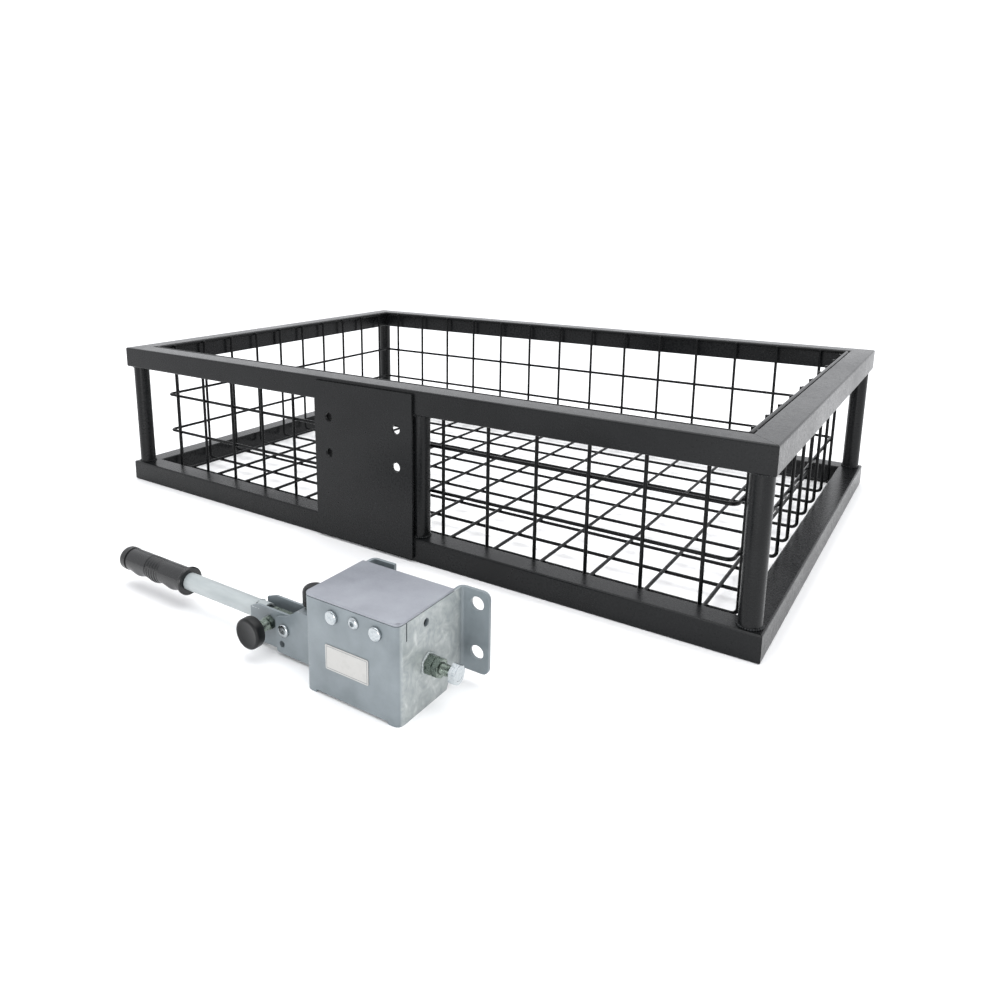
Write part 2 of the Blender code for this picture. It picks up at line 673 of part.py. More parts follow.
def retaining_ring(name, x, coupling):
    low = SUPPORT_Y + SHEET + 2 * GAP
    inner = JAW_PIN + 2 * GAP
    ring = pipe("Y", (x, 0, JAW_PIN_Z), RING_DIAMETER, inner, low, low + RING_THICKNESS, SMALL_SIDES)
    return finished(hang(name, ring, coupling), "forged_steel")


def hex_nut(name, low, height, coupling):
    nut = hang(name, hexagon("X", (0, ARM_Y, BOLT_Z), HEX_FLATS, low, low + height), coupling)
    bore = cylinder("X", (0, ARM_Y, BOLT_Z), BOLT + 2 * GAP, low - OVERRUN, low + height + OVERRUN)
    return finished(boolean(nut, bore), "zinc")


def label_plate(coupling):
    (width, height), (x, z) = LABEL_SIZE, LABEL_CENTRE
    low = (x - width / 2, -GAP - LABEL_THICKNESS, z - height / 2)
    plate = box(low, (x + width / 2, -GAP, z + height / 2))
    return finished(hang("label_plate", plate, coupling), "label_foil")


# ---- Jaws and adjusting bolt


def jaw(name, pin_x, away, where):
    """A jaw hanging from its pin, hollowed to the ball. away is -1 for the left jaw and 1 for the right."""

    def at(distance, height):
        return (BALL_X + away * distance, height)

    boss = arc((pin_x, JAW_PIN_Z), JAW_BOSS, 0, 360, 20)[:-1]
    body = [at(JAW_BACK, JAW_FOOT_Z), at(JAW_NECK, JAW_FOOT_Z), at(JAW_NECK + 1 * MM, 60 * MM)]
    body += [at(JAW_NECK + 4 * MM, JAW_PIN_Z)]
    body += [at(JAW_BACK - 8 * MM, JAW_PIN_Z), at(JAW_BACK, 78 * MM)]
    low, high = ARM_Y - JAW_WIDTH / 2, ARM_Y + JAW_WIDTH / 2
    piece = hang(name, prism(boss, "XZ", low, high), where)
    boolean(piece, prism(body, "XZ", low + GAP / 2, high - GAP / 2), "UNION")
    boolean(piece, ball_cutter())
    boolean(piece, cylinder("Y", (pin_x, 0, JAW_PIN_Z), JAW_PIN + 2 * GAP, low - OVERRUN, high + OVERRUN))
    return finished(piece, "forged_steel")


def adjusting_bolt(where):
    radius = BOLT / 2
    profile = [(0, BOLT_TIP), (radius - 2 * MM, BOLT_TIP), (radius, BOLT_TIP + 2 * MM)]
    profile += [(radius, BOLT_REACH + 1 * MM), (0, BOLT_REACH + 1 * MM)]
    bolt = hang("adjusting_bolt", turned("X", (0, ARM_Y, BOLT_Z), profile), where)
    head = hexagon("X", (0, ARM_Y, BOLT_Z), HEX_FLATS, BOLT_REACH, BOLT_REACH + HEAD_HEIGHT)
    boolean(bolt, head, "UNION")
    return finished(bolt, "zinc")


# ---- Lever arm


def arm_outline():
    """One cheek of the arm: a boss on the jaw pin, a deep web through the slot and a rounded fork end."""
    boss = arc((LEFT_PIN_X, JAW_PIN_Z), JAW_BOSS + 2 * MM, 130, 0, 8)
    outline = [(FOLD_X + 3 * MM, FOLD_Z + 16.5 * MM), (BRIDGE_LEFT, ARM_TOP), (0, ARM_TOP)] + boss
    outline += [(LEFT_PIN_X + 3 * MM, 30 * MM), (LEFT_PIN_X - 1 * MM, ARM_FOOT)]
    outline += [(-15 * MM, ARM_FOOT - 2.5 * MM), (-20 * MM, ARM_FOOT), (FOLD_X - 8 * MM, ARM_FOOT)]
    outline += arc((FOLD_X - ARM_END + 4 * MM, ARM_FOOT + 4 * MM), 4 * MM, 250, 180, 3)
    return outline + arc((FOLD_X - ARM_END + 5 * MM, FOLD_Z + 8.5 * MM), 5 * MM, 180, 110, 3)


def arm_bracket(lever):
    front, back = ARM_Y - ARM_WIDTH / 2, ARM_Y + ARM_WIDTH / 2
    bracket = hang("arm_bracket", prism(arm_outline(), "XZ", front, front + ARM_SHEET), lever)
    boolean(bracket, prism(arm_outline(), "XZ", back - ARM_SHEET, back), "UNION")
    bridge_low = (BRIDGE_LEFT, front + ARM_SHEET / 2, ARM_TOP - ARM_SHEET)
    bridge = box(bridge_low, (BRIDGE_RIGHT, back - ARM_SHEET / 2, ARM_TOP - GAP / 2))
    boolean(bracket, bridge, "UNION")
    across = (front - OVERRUN, back + OVERRUN)
    boolean(bracket, cylinder("Y", (LEFT_PIN_X, 0, JAW_PIN_Z), JAW_PIN + 2 * GAP, *across))
    boolean(bracket, cylinder("Y", (FOLD_X, 0, FOLD_Z), FOLD_PIN + 2 * GAP, *across))
    boolean(bracket, cylinder("Y", (PADLOCK_X, 0, PADLOCK_Z), PADLOCK_HOLE, *across, SMALL_SIDES))
    bridge_span = (ARM_TOP - ARM_SHEET - OVERRUN, ARM_TOP + OVERRUN)
    boolean(bracket, cylinder("Z", (LATCH_X, ARM_Y, 0), LATCH_STEM + 2 * GAP, *bridge_span))
    return finished(bracket, "grey_paint")


def index_tongue(lever):
    """The plate inside the channel that the plunger's pin locks into, hung from the arm's bridge."""
    bottom, top = FOLD_Z - 10 * MM, FOLD_Z + 9 * MM
    left, right, riser = PLUNGER_X - 9 * MM, BRIDGE_RIGHT - GAP, LATCH_X + 9 * MM
    outline = [(left, bottom), (right, bottom), (right, ARM_TOP - ARM_SHEET - GAP)]
    outline += [(riser, ARM_TOP - ARM_SHEET - GAP), (riser, top), (left, top)]
    tongue = hang("index_tongue", prism(outline, "XZ", TONGUE_FRONT, TONGUE_FRONT + TONGUE), lever)
    across = (TONGUE_FRONT - OVERRUN, TONGUE_FRONT + TONGUE + OVERRUN)
    boolean(tongue, cylinder("Y", (FOLD_X, 0, FOLD_Z), FOLD_PIN + 2 * GAP, *across))
    boolean(tongue, cylinder("Y", (PLUNGER_X, 0, FOLD_Z), PLUNGER_PIN + 2 * GAP, *across, SMALL_SIDES))
    return finished(tongue, "zinc")


def fold_pin(lever):
    front, back = ARM_Y - ARM_WIDTH / 2 - GAP, ARM_Y + ARM_WIDTH / 2 + GAP
    radius, head = FOLD_PIN / 2, PIN_HEAD / 2
    profile = [(0, front - PIN_HEAD_HEIGHT), (head - 1 * MM, front - PIN_HEAD_HEIGHT)]
    profile += [(head, front - PIN_HEAD_HEIGHT + 1 * MM), (head, front), (radius, front), (radius, back)]
    profile += [(head, back), (head, back + 1.5 * MM), (head - 1.5 * MM, back + 3 * MM), (0, back + 3 * MM)]
    return finished(hang("fold_pin", turned("Y", (FOLD_X, 0, FOLD_Z), profile), lever), "zinc")


# ---- Latch button


def latch_guide(lever):
    low = ARM_TOP + GAP
    guide = pipe("Z", (LATCH_X, ARM_Y, 0), LATCH_GUIDE, LATCH_GUIDE - 5 * MM, low, low + 10 * MM)
    return finished(hang("latch_guide", guide, lever), "zinc")


def latch_button(latch):
    """A domed cap over the guide, with its stem through the bridge."""
    outer, inner, stem = LATCH_CAP / 2, LATCH_GUIDE / 2 + 0.5 * MM, LATCH_STEM / 2
    rim, roof, top = ARM_TOP + LATCH_TRAVEL + 1 * MM, LATCH_TOP - 5 * MM, LATCH_TOP
    profile = [(0, LATCH_FOOT), (stem, LATCH_FOOT), (stem, roof), (inner, roof), (inner, rim), (outer, rim)]
    crown = 7 * MM
    profile += [(outer - crown + r, top - crown + h) for r, h in arc((0, 0), crown, 0, 90, 5)]
    profile += [(0, top)]
    return finished(hang("latch_button", turned("Z", (LATCH_X, ARM_Y, 0), profile), latch), "black_plastic")


def latch_clip(latch):
    high = ARM_TOP - ARM_SHEET - GAP
    inner = LATCH_STEM + 2 * GAP
    clip = pipe("Z", (LATCH_X, ARM_Y, 0), CLIP, inner, high - CLIP_THICKNESS, high, SMALL_SIDES)
    return finished(hang("latch_clip", clip, latch), "forged_steel")


def coil(name, axis, centre, radius, low, high, turns, where):
    """A compression spring of round wire, with flat ends left open."""
    points, wire_sides = 10 * turns, 5
    across = AXIS_TURNS[axis]
    shape = bmesh.new()
    rings = []
    for i in range(points + 1):
        angle = 2 * math.pi * turns * i / points
        lift = low + SPRING_WIRE / 2 + (high - low - SPRING_WIRE) * i / points
        spine = Vector((radius * math.cos(angle), radius * math.sin(angle), lift))
        outward = Vector((math.cos(angle), math.sin(angle), 0))
        ring = []
        for k in range(wire_sides):
            around = 2 * math.pi * k / wire_sides
            offset = outward * math.cos(around) + Vector((0, 0, math.sin(around)))
            ring.append(shape.verts.new(spine + offset * SPRING_WIRE / 2))
        rings.append(ring)
    for first, second in zip(rings, rings[1:]):
        for k in range(wire_sides):
            n = (k + 1) % wire_sides
            shape.faces.new((first[k], first[n], second[n], second[k]))
    shape.faces.new(rings[0][::-1])
    shape.faces.new(rings[-1])
    bmesh.ops.transform(shape, matrix=Matrix.Translation(centre) @ across, verts=shape.verts)
    return finished(hang(name, shape, where), "zinc")


# ---- Folding handle and its plunger


def handle_channel(handle):
    """Two cheeks on the fold pin, joined under the tube by a web that stays clear of the tongue."""
    nose = FOLD_X + CHANNEL_NOSE
    outline = [(CHANNEL_LEFT, CHANNEL_BOTTOM), (nose - 10 * MM, CHANNEL_BOTTOM)]
    outline += [(nose, CHANNEL_BOTTOM + 12 * MM), (nose, CHANNEL_TOP - 6 * MM)]
    outline += [(nose - 6 * MM, CHANNEL_TOP), (TUBE_START, CHANNEL_TOP)]
    outline += [(CHANNEL_LEFT, FOLD_Z + TUBE / 2)]
    front, back = CHANNEL_FRONT, CHANNEL_FRONT + CHANNEL_WIDTH
    channel = hang("handle_channel", prism(outline, "XZ", front, front + CHANNEL_SHEET), handle)
    boolean(channel, prism(outline, "XZ", back - CHANNEL_SHEET, back), "UNION")
    web_right = PLUNGER_X - 11 * MM
    web_low = (CHANNEL_LEFT + GAP / 2, front + CHANNEL_SHEET / 2, CHANNEL_BOTTOM + GAP / 2)
    web = box(web_low, (web_right, back - CHANNEL_SHEET / 2, CHANNEL_BOTTOM + CHANNEL_SHEET))
    boolean(channel, web, "UNION")
    across = (front - OVERRUN, back + OVERRUN)
    boolean(channel, cylinder("Y", (FOLD_X, 0, FOLD_Z), FOLD_PIN + 2 * GAP, *across))
    one_cheek = (front - OVERRUN, front + CHANNEL_SHEET + OVERRUN)
    boolean(channel, cylinder("Y", (PLUNGER_X, 0, FOLD_Z), PLUNGER_PIN + 2 * GAP, *one_cheek, SMALL_SIDES))
    boolean(channel, cylinder("Y", (PADLOCK_X, 0, PADLOCK_Z), PADLOCK_HOLE, *across, SMALL_SIDES))
    return finished(channel, "grey_paint")


def handle_tube(handle):
    tube = pipe("X", (0, ARM_Y, FOLD_Z), TUBE, TUBE - 2 * TUBE_WALL, TUBE_END, TUBE_START)
    return finished(hang("handle_tube", tube, handle), "grey_paint")


def grip_radius(along, angle):
    """The grip's radius at a distance from its inner end, with three finger waves on the underside."""
    length = GRIP_START - GRIP_END
    collar, rib_start, rib_end = 6 * MM, 0.36 * length, 0.58 * length
    if along < collar:
        return GRIP_COLLAR / 2
    radius = GRIP_DIAMETER / 2
    wave_start, wave_end = collar + 6 * MM, length - 16 * MM
    if wave_start < along < wave_end:
        phase = (along - wave_start) / (wave_end - wave_start) * 3
        under = max(0, -math.sin(angle)) ** 2
        radius += GRIP_WAVE * under * (0.5 - 0.5 * math.cos(2 * math.pi * phase))
    elif rib_start < along < rib_end:
        radius += 0.5 * MM
    crown = 8 * MM
    if along > length - crown:
        drop = (along - length + crown) / crown
        radius -= 5 * MM * (1 - math.sqrt(max(0, 1 - drop * drop)))
    return radius


def handle_grip(handle):
    """A moulded grip with a blind bore, pushed over the tube's end."""
    sides, length = 16, GRIP_START - GRIP_END
    stations = [0, 6 * MM - GAP, 6 * MM + GAP] + [(6 + 6 * i) * MM for i in range(1, 19)]
    stations += [length - 4 * MM, length - 1.5 * MM, length]
    bore = TUBE / 2 + GAP
    shape = bmesh.new()

    def ring(along, radius_of):
        found = []
        for i in range(sides):
            angle = 2 * math.pi * (i + 0.5) / sides
            radius = radius_of(along, angle)
            y, z = ARM_Y + radius * math.cos(angle), FOLD_Z + radius * math.sin(angle)
            found.append(shape.verts.new((GRIP_START - along, y, z)))
        return found

    skin = [ring(along, grip_radius) for along in stations]
    depth = GRIP_START - TUBE_END + 2 * GAP
    hollow = [ring(along, lambda a, b: bore) for along in (depth, 0)]
    loops = hollow + skin
    for first, second in zip(loops, loops[1:]):
        for i in range(sides):
            j = (i + 1) % sides
            shape.faces.new((first[i], first[j], second[j], second[i]))
    shape.faces.new(hollow[0])
    shape.faces.new(skin[-1])
    return finished(hang("handle_grip", shape, handle), "grip_vinyl")


def plunger_sleeve(handle):
    """A threaded sleeve on a hex foot. The bore is wider in the middle, where the spring sits."""
    narrow, wide, outer = PLUNGER_PIN / 2 + GAP, SLEEVE_BORE / 2, SLEEVE / 2
    centre = (PLUNGER_X, 0, FOLD_Z)
    profile = [(0, SLEEVE_FRONT), (outer - 1 * MM, SLEEVE_FRONT), (outer, SLEEVE_FRONT + 1 * MM)]
    profile += [(outer, SLEEVE_BACK), (0, SLEEVE_BACK)]
    sleeve = hang("plunger_sleeve", turned("Y", centre, profile, SMALL_SIDES), handle)
    foot = hexagon("Y", centre, SLEEVE_FLATS, SLEEVE_BACK - SLEEVE_NUT, SLEEVE_BACK - GAP / 2)
    boolean(sleeve, foot, "UNION")
    bore = [(0, SLEEVE_FRONT - OVERRUN), (narrow, SLEEVE_FRONT - OVERRUN)]
    bore += [(narrow, SLEEVE_FRONT + SLEEVE_LIP), (wide, SLEEVE_FRONT + SLEEVE_LIP)]
    bore += [(wide, SLEEVE_BACK - SLEEVE_LIP), (narrow, SLEEVE_BACK - SLEEVE_LIP)]
    bore += [(narrow, SLEEVE_BACK + OVERRUN), (0, SLEEVE_BACK + OVERRUN)]
    boolean(sleeve, turned("Y", centre, bore, SMALL_SIDES))
    return finished(sleeve, "zinc")


def plunger_pin(plunger):
    radius, collar = PLUNGER_PIN / 2, SLEEVE_BORE / 2 - GAP
    profile = [(0, PIN_FRONT), (radius, PIN_FRONT), (radius, SHOULDER), (collar, SHOULDER)]
    profile += [(collar, SHOULDER + SLEEVE_COLLAR)]
    profile += [(radius, SHOULDER + SLEEVE_COLLAR), (radius, PIN_TIP - 1.5 * MM)]
    profile += [(radius - 1.5 * MM, PIN_TIP), (0, PIN_TIP)]
    pin = turned("Y", (PLUNGER_X, 0, FOLD_Z), profile, SMALL_SIDES)
    return finished(hang("plunger_pin", pin, plunger), "zinc")


def plunger_knob(plunger):
    """A flat knob pressed on the pin, hollow behind so that it slides over the sleeve."""
    edge, radius, hub = 2 * MM, KNOB / 2, SLEEVE / 2 + 2 * MM
    front, back = KNOB_FRONT, KNOB_FRONT + KNOB_THICKNESS
    hole, recess, web = PLUNGER_PIN / 2 + GAP, SLEEVE / 2 + 0.5 * MM, SLEEVE_FRONT - PLUNGER_TRAVEL - 3 * MM
    profile = [(0, front), (radius - edge, front), (radius - 0.6 * MM, front + 0.6 * MM)]
    profile += [(radius, front + edge), (radius, back - edge), (radius - edge, back)]
    profile += [(hub + 1 * MM, back), (hub, back + 2.5 * MM)]
    profile += [(recess, back + 2.5 * MM), (recess, web), (hole, web)]
    profile += [(hole, PIN_FRONT - GAP), (0, PIN_FRONT - GAP)]
    knob = turned("Y", (PLUNGER_X, 0, FOLD_Z), profile)
    return finished(hang("plunger_knob", knob, plunger), "black_plastic")


# ---- The whole carrier


def basket_assembly():
    basket = holder("basket", (0, 0, 0))
    frame(basket)
    mounting_plate(basket)
    floor_panel(basket)
    for side in ("front", "back", "left", "right"):
        side_panel(f"liner_{side}", side, basket)


def coupling_assembly():
    """The coupling's pieces are drawn in its local frame, whose holder stands at the parked place."""
    coupling = holder("coupling", (0, 0, 0))
    coupling.location = PARKED
    housing(coupling)
    top_cover(coupling)
    support_plate(coupling)
    ball_seat(coupling)
    seat_screw(coupling)
    for side, x in (("left", LEFT_PIN_X), ("right", RIGHT_PIN_X)):
        jaw_pin(f"jaw_pin_{side}", x, coupling)
        retaining_ring(f"retaining_ring_{side}", x, coupling)
    hex_nut("weld_nut", HOUSING_WIDTH + GAP, WELD_NUT, coupling)
    hex_nut("lock_nut", HOUSING_WIDTH + WELD_NUT + 2 * GAP, LOCK_NUT, coupling)
    label_plate(coupling)
    bolt = holder("bolt_axis", (BOLT_TIP, ARM_Y, BOLT_Z), coupling)
    adjusting_bolt(bolt)
    right_pivot = holder("counter_jaw_axis", (RIGHT_PIN_X, ARM_Y, JAW_PIN_Z), coupling)
    jaw("counter_jaw", RIGHT_PIN_X, 1, right_pivot)
    lever = holder("lever_axis", (LEFT_PIN_X, ARM_Y, JAW_PIN_Z), coupling)
    jaw("left_jaw", LEFT_PIN_X, -1, lever)
    arm_bracket(lever)
    index_tongue(lever)
    fold_pin(lever)
    latch_guide(lever)
    latch = holder("latch_axis", (LATCH_X, ARM_Y, ARM_TOP), lever)
    latch_button(latch)
    latch_clip(latch)
    spring_top = LATCH_TOP - 5 * MM - GAP
    coil("latch_spring", "Z", (LATCH_X, ARM_Y, 0), 6.5 * MM, ARM_TOP + GAP, spring_top, 5, latch)
    handle = holder("fold_axis", (FOLD_X, ARM_Y, FOLD_Z), lever)
    handle_channel(handle)
    handle_tube(handle)
    handle_grip(handle)
    plunger_sleeve(handle)
    plunger = holder("plunger_axis", (PLUNGER_X, SLEEVE_BACK, FOLD_Z), handle)
    plunger_pin(plunger)
    plunger_knob(plunger)
    low, high = SLEEVE_FRONT + SLEEVE_LIP + GAP, SHOULDER - GAP
    coil("plunger_spring", "Y", (PLUNGER_X, 0, FOLD_Z), 4.9 * MM, low, high, 3, plunger)


clear_scene()
basket_assembly()
coupling_assembly()
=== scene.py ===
"""Finished look of a steel cargo basket with its clamping coupling.

The basket is coated tube and wire, and the coupling has painted and plated fittings.
"""

import json
import math

import bmesh
import bpy
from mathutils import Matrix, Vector


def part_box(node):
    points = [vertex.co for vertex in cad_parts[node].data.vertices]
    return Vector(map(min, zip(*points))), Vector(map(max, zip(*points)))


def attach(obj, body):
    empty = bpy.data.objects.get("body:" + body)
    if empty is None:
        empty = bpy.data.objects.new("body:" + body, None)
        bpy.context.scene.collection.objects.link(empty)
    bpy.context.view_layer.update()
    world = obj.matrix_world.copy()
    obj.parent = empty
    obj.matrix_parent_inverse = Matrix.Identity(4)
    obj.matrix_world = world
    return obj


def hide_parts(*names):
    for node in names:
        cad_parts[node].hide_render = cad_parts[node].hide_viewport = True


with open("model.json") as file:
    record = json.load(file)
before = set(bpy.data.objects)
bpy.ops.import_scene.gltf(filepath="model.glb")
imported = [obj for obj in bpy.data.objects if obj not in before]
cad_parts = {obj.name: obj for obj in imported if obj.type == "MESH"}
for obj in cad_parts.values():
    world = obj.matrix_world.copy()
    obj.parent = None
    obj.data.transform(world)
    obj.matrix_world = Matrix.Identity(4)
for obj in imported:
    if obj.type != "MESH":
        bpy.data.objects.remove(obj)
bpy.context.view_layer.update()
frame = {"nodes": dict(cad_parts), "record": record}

MM = 0.001
WIRE = 5 * MM
RIM_WIRE = 6 * MM
SINK = 0.25 * MM
RAIL_WIDTH = 35 * MM
RIM_GAP = 1 * MM
RIM_INSET = RAIL_WIDTH + RIM_GAP + RIM_WIRE / 2
WIRE_INSET = RIM_INSET + (RIM_WIRE + WIRE) / 2 - SINK
RING_INSET = WIRE_INSET + WIRE - SINK
LONG_PITCH, LONG_COUNT = 74 * MM, 14
SHORT_PITCH, SHORT_COUNT = 67 * MM, 10
RING_HEIGHTS = (92 * MM, 160 * MM)
RIM_HEIGHT = 247 * MM
TIP_HEIGHT = 248 * MM
FLOOR_HEIGHT = 20 * MM
CROSS_HEIGHT = FLOOR_HEIGHT - WIRE + SINK
WIRE_BEND = 8 * MM
TACK_INSET = 60 * MM
HEX_FLATS = 19 * MM
PIN_SHANK = 6 * MM

HOME = {node: body for body, nodes in frame["record"]["behaviour"]["bodies"].items() for node in nodes}


def middle(node):
    low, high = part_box(node)
    return (low + high) / 2


def size(node):
    low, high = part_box(node)
    return high - low


# ---- Finishes


def linear(code):
    """An sRGB hex colour as the linear colour that a socket takes."""
    parts = [int(code[i:i + 2], 16) / 255 for i in (1, 3, 5)]
    return (*(c / 12.92 if c <= 0.04045 else ((c + 0.055) / 1.055) ** 2.4 for c in parts), 1)


def add(tree, kind, inputs=None, stops=None, **settings):
    """Adds a node. An input is named or numbered, and takes a value, a hex colour or a socket to link."""
    made = tree.nodes.new(kind)
    for name, value in settings.items():
        setattr(made, name, value)
    for name, value in (inputs or {}).items():
        if isinstance(value, bpy.types.NodeSocket):
            tree.links.new(value, made.inputs[name])
        else:
            made.inputs[name].default_value = linear(value) if isinstance(value, str) else value
    if stops:
        ramp = made.color_ramp.elements
        while len(ramp) < len(stops):
            ramp.new(0.5)
        for element, (place, code) in zip(ramp, stops):
            element.position = place
            element.color = linear(code)
    return made


def surface(name, tones, patch, grain, relief, rough, metal=0.0, ior=1.5, shine=0.5, stretch=(1, 1, 1)):
    """One finish: tones drift over patches, a grain lifts the surface, and the roughness drifts with both.

    patch and grain are the real sizes in millimetres of one patch and one grain. relief is the grain's height.
    """
    made = bpy.data.materials.new(name)
    made.use_nodes = True
    tree = made.node_tree
    shader = tree.nodes["Principled BSDF"]
    shader.inputs["Metallic"].default_value = metal
    if not metal:
        shader.inputs["IOR"].default_value = ior
        shader.inputs["Specular IOR Level"].default_value = shine
    at = add(tree, "ShaderNodeTexCoord").outputs["Object"]
    at = add(tree, "ShaderNodeMapping", {"Vector": at, "Scale": stretch}).outputs["Vector"]
    drift = {"Vector": at, "Scale": 1 / (patch * MM), "Detail": 4.0, "Roughness": 0.6}
    patches = add(tree, "ShaderNodeTexNoise", drift).outputs["Fac"]
    fine = {"Vector": at, "Scale": 1 / (grain * MM), "Detail": 2.0, "Roughness": 0.5}
    grains = add(tree, "ShaderNodeTexNoise", fine).outputs["Fac"]
    places = [0.3 + 0.4 * i / (len(tones) - 1) for i in range(len(tones))]
    tone = add(tree, "ShaderNodeValToRGB", {"Fac": patches}, stops=list(zip(places, tones))).outputs["Color"]
    both = add(tree, "ShaderNodeMath", {0: patches, 1: grains}, operation="ADD").outputs[0]
    span = {"Value": both, "From Min": 0.7, "From Max": 1.3, "To Min": rough[0], "To Max": rough[1]}
    gloss = add(tree, "ShaderNodeMapRange", span).outputs["Result"]
    lift = add(tree, "ShaderNodeBump", {"Height": grains, "Distance": relief * MM, "Strength": 0.6})
    tree.links.new(tone, shader.inputs["Base Color"])
    tree.links.new(gloss, shader.inputs["Roughness"])
    tree.links.new(lift.outputs["Normal"], shader.inputs["Normal"])
    return made


def black_coat():
    # Polyester powder coat on steel tube, baked: near black, semi-gloss, with a faint orange peel.
    # The peel of about 1.5 mm is drawn at 4 mm so that it shows.
    tones = ("#0c0d0e", "#141516", "#101112")
    return surface("black_powder_coat", tones, 140, 4, 0.004, (0.22, 0.34), shine=0.2)


def wire_coat():
    # The same powder on thin rod, where it flows rounder and glossier.
    return surface("black_coated_wire", ("#08090a", "#0e0f10"), 60, 3, 0.01, (0.22, 0.34), shine=0.14)


def weld_coat():
    # Weld metal under the powder coat: lumpy, so it catches small glints.
    return surface("coated_weld", ("#101112", "#1e2022"), 12, 1.2, 0.12, (0.2, 0.34), shine=0.3)


def grey_paint():
    # Blue-grey enamel sprayed on pressed sheet: satin, with slight patches where it went on thicker.
    return surface("grey_enamel", ("#656d71", "#6e767a", "#757d81"), 34, 2.5, 0.03, (0.32, 0.46))


def tube_paint():
    # The same enamel over drawn tube, paler and drawn out along the tube.
    return surface("grey_enamel_on_tube", ("#8b9293", "#999fa0", "#a4aaaa"), 16, 2, 0.02, (0.28, 0.4),
                   stretch=(0.2, 1, 1))


def cover_paint():
    # The lid's enamel: the same satin paint, a shade bluer and paler than the box below it.
    return surface("lid_enamel", ("#7a7d84", "#83868d", "#8a8e94"), 45, 2.5, 0.02, (0.3, 0.42))


def bright_zinc():
    # Clear-passivated electroplated zinc: pale, soft mirror, faintly blue in patches.
    return surface("bright_zinc", ("#8d9599", "#b2b7b9", "#9ca3a7"), 6, 1.2, 0.02, (0.16, 0.3), metal=1.0)


def olive_zinc():
    # Zinc plating dulled by weld heat and passivation: greenish grey with dark patches.
    return surface("dulled_zinc", ("#46504a", "#7f8981", "#636d66"), 5, 1.0, 0.03, (0.2, 0.38), metal=1.0)


def forged():
    # Forged and oiled steel: dark scale with brighter rubbed spots.
    return surface("forged_steel", ("#37373a", "#57575a", "#454548"), 9, 0.9, 0.06, (0.42, 0.6), metal=0.9)


def black_plastic():
    # Injection-moulded nylon: near black with a fine spark-eroded texture.
    # The 0.3 mm texture is drawn at 0.9 mm so that it shows.
    tones = ("#0c0d0e", "#131415", "#0f1011")
    return surface("moulded_nylon", tones, 15, 0.9, 0.04, (0.3, 0.42), ior=1.53, shine=0.2)


def vinyl():
    # Dipped and moulded soft PVC: charcoal, satin sheen, slightly rubbed.
    tones = ("#0c0d0e", "#141516", "#101112")
    return surface("soft_grip_vinyl", tones, 18, 1.2, 0.03, (0.18, 0.3), ior=1.53, shine=0.42)


def bead_metal():
    # Bare weld bead, sprayed thinly over: grey with darker heat marks.
    tones = ("#7c8283", "#a0a6a6", "#8b9191")
    return surface("thinly_painted_weld", tones, 3, 0.6, 0.08, (0.3, 0.5), metal=0.4)


def housing_paint(wall_x, flange_y, nut):
    """The box's enamel. On the bolt's wall it is thin, so galvanising shows, rubbed in arcs round the nut."""
    tones = ("#656d71", "#6e767a", "#757d81")
    made = surface("grey_enamel_over_galvanised", tones, 34, 2.5, 0.03, (0.32, 0.46))
    tree = made.node_tree
    shader = tree.nodes["Principled BSDF"]
    at = add(tree, "ShaderNodeTexCoord").outputs["Object"]
    parts = add(tree, "ShaderNodeSeparateXYZ", {"Vector": at}).outputs
    edge = {"Value": parts["X"], "From Min": wall_x - 1.5 * MM, "From Max": wall_x - 0.1 * MM}
    outer = add(tree, "ShaderNodeMapRange", edge).outputs["Result"]
    edge = {"Value": parts["Y"], "From Min": flange_y - 5 * MM, "From Max": flange_y - 12 * MM}
    ahead = add(tree, "ShaderNodeMapRange", edge).outputs["Result"]
    on_wall = add(tree, "ShaderNodeMath", {0: outer, 1: ahead}, operation="MULTIPLY").outputs[0]
    moved = add(tree, "ShaderNodeMapping", {"Vector": at, "Location": tuple(-c for c in nut)}).outputs["Vector"]
    smear = {"Vector": moved, "Scale": 1 / (17 * MM), "Detail": 5.0, "Roughness": 0.6, "Distortion": 1.2}
    worn = add(tree, "ShaderNodeTexNoise", smear).outputs["Fac"]
    rub = {"Vector": moved, "Scale": 1 / (26 * MM), "Distortion": 9.0, "Detail": 4.0, "Detail Scale": 1.5}
    arcs = add(tree, "ShaderNodeTexWave", rub, wave_type="RINGS", rings_direction="X").outputs["Fac"]
    mark = add(tree, "ShaderNodeMath", {0: arcs, 1: 0.045, 2: worn}, operation="MULTIPLY_ADD").outputs[0]
    stops = [(0.3, "#848b8b"), (0.48, "#959b9b"), (0.6, "#a3a8a7"), (0.76, "#bbbfbd")]
    bare = add(tree, "ShaderNodeValToRGB", {"Fac": mark}, stops=stops).outputs["Color"]
    painted = shader.inputs["Base Color"].links[0].from_socket
    tone = add(tree, "ShaderNodeMix", {0: on_wall, 6: painted, 7: bare}, data_type="RGBA").outputs[2]
    patchy = add(tree, "ShaderNodeMath", {0: on_wall, 1: mark}, operation="MULTIPLY").outputs[0]
    metal = add(tree, "ShaderNodeMath", {0: patchy, 1: 0.45}, operation="MULTIPLY").outputs[0]
    tree.links.new(tone, shader.inputs["Base Color"])
    tree.links.new(metal, shader.inputs["Metallic"])
    return made


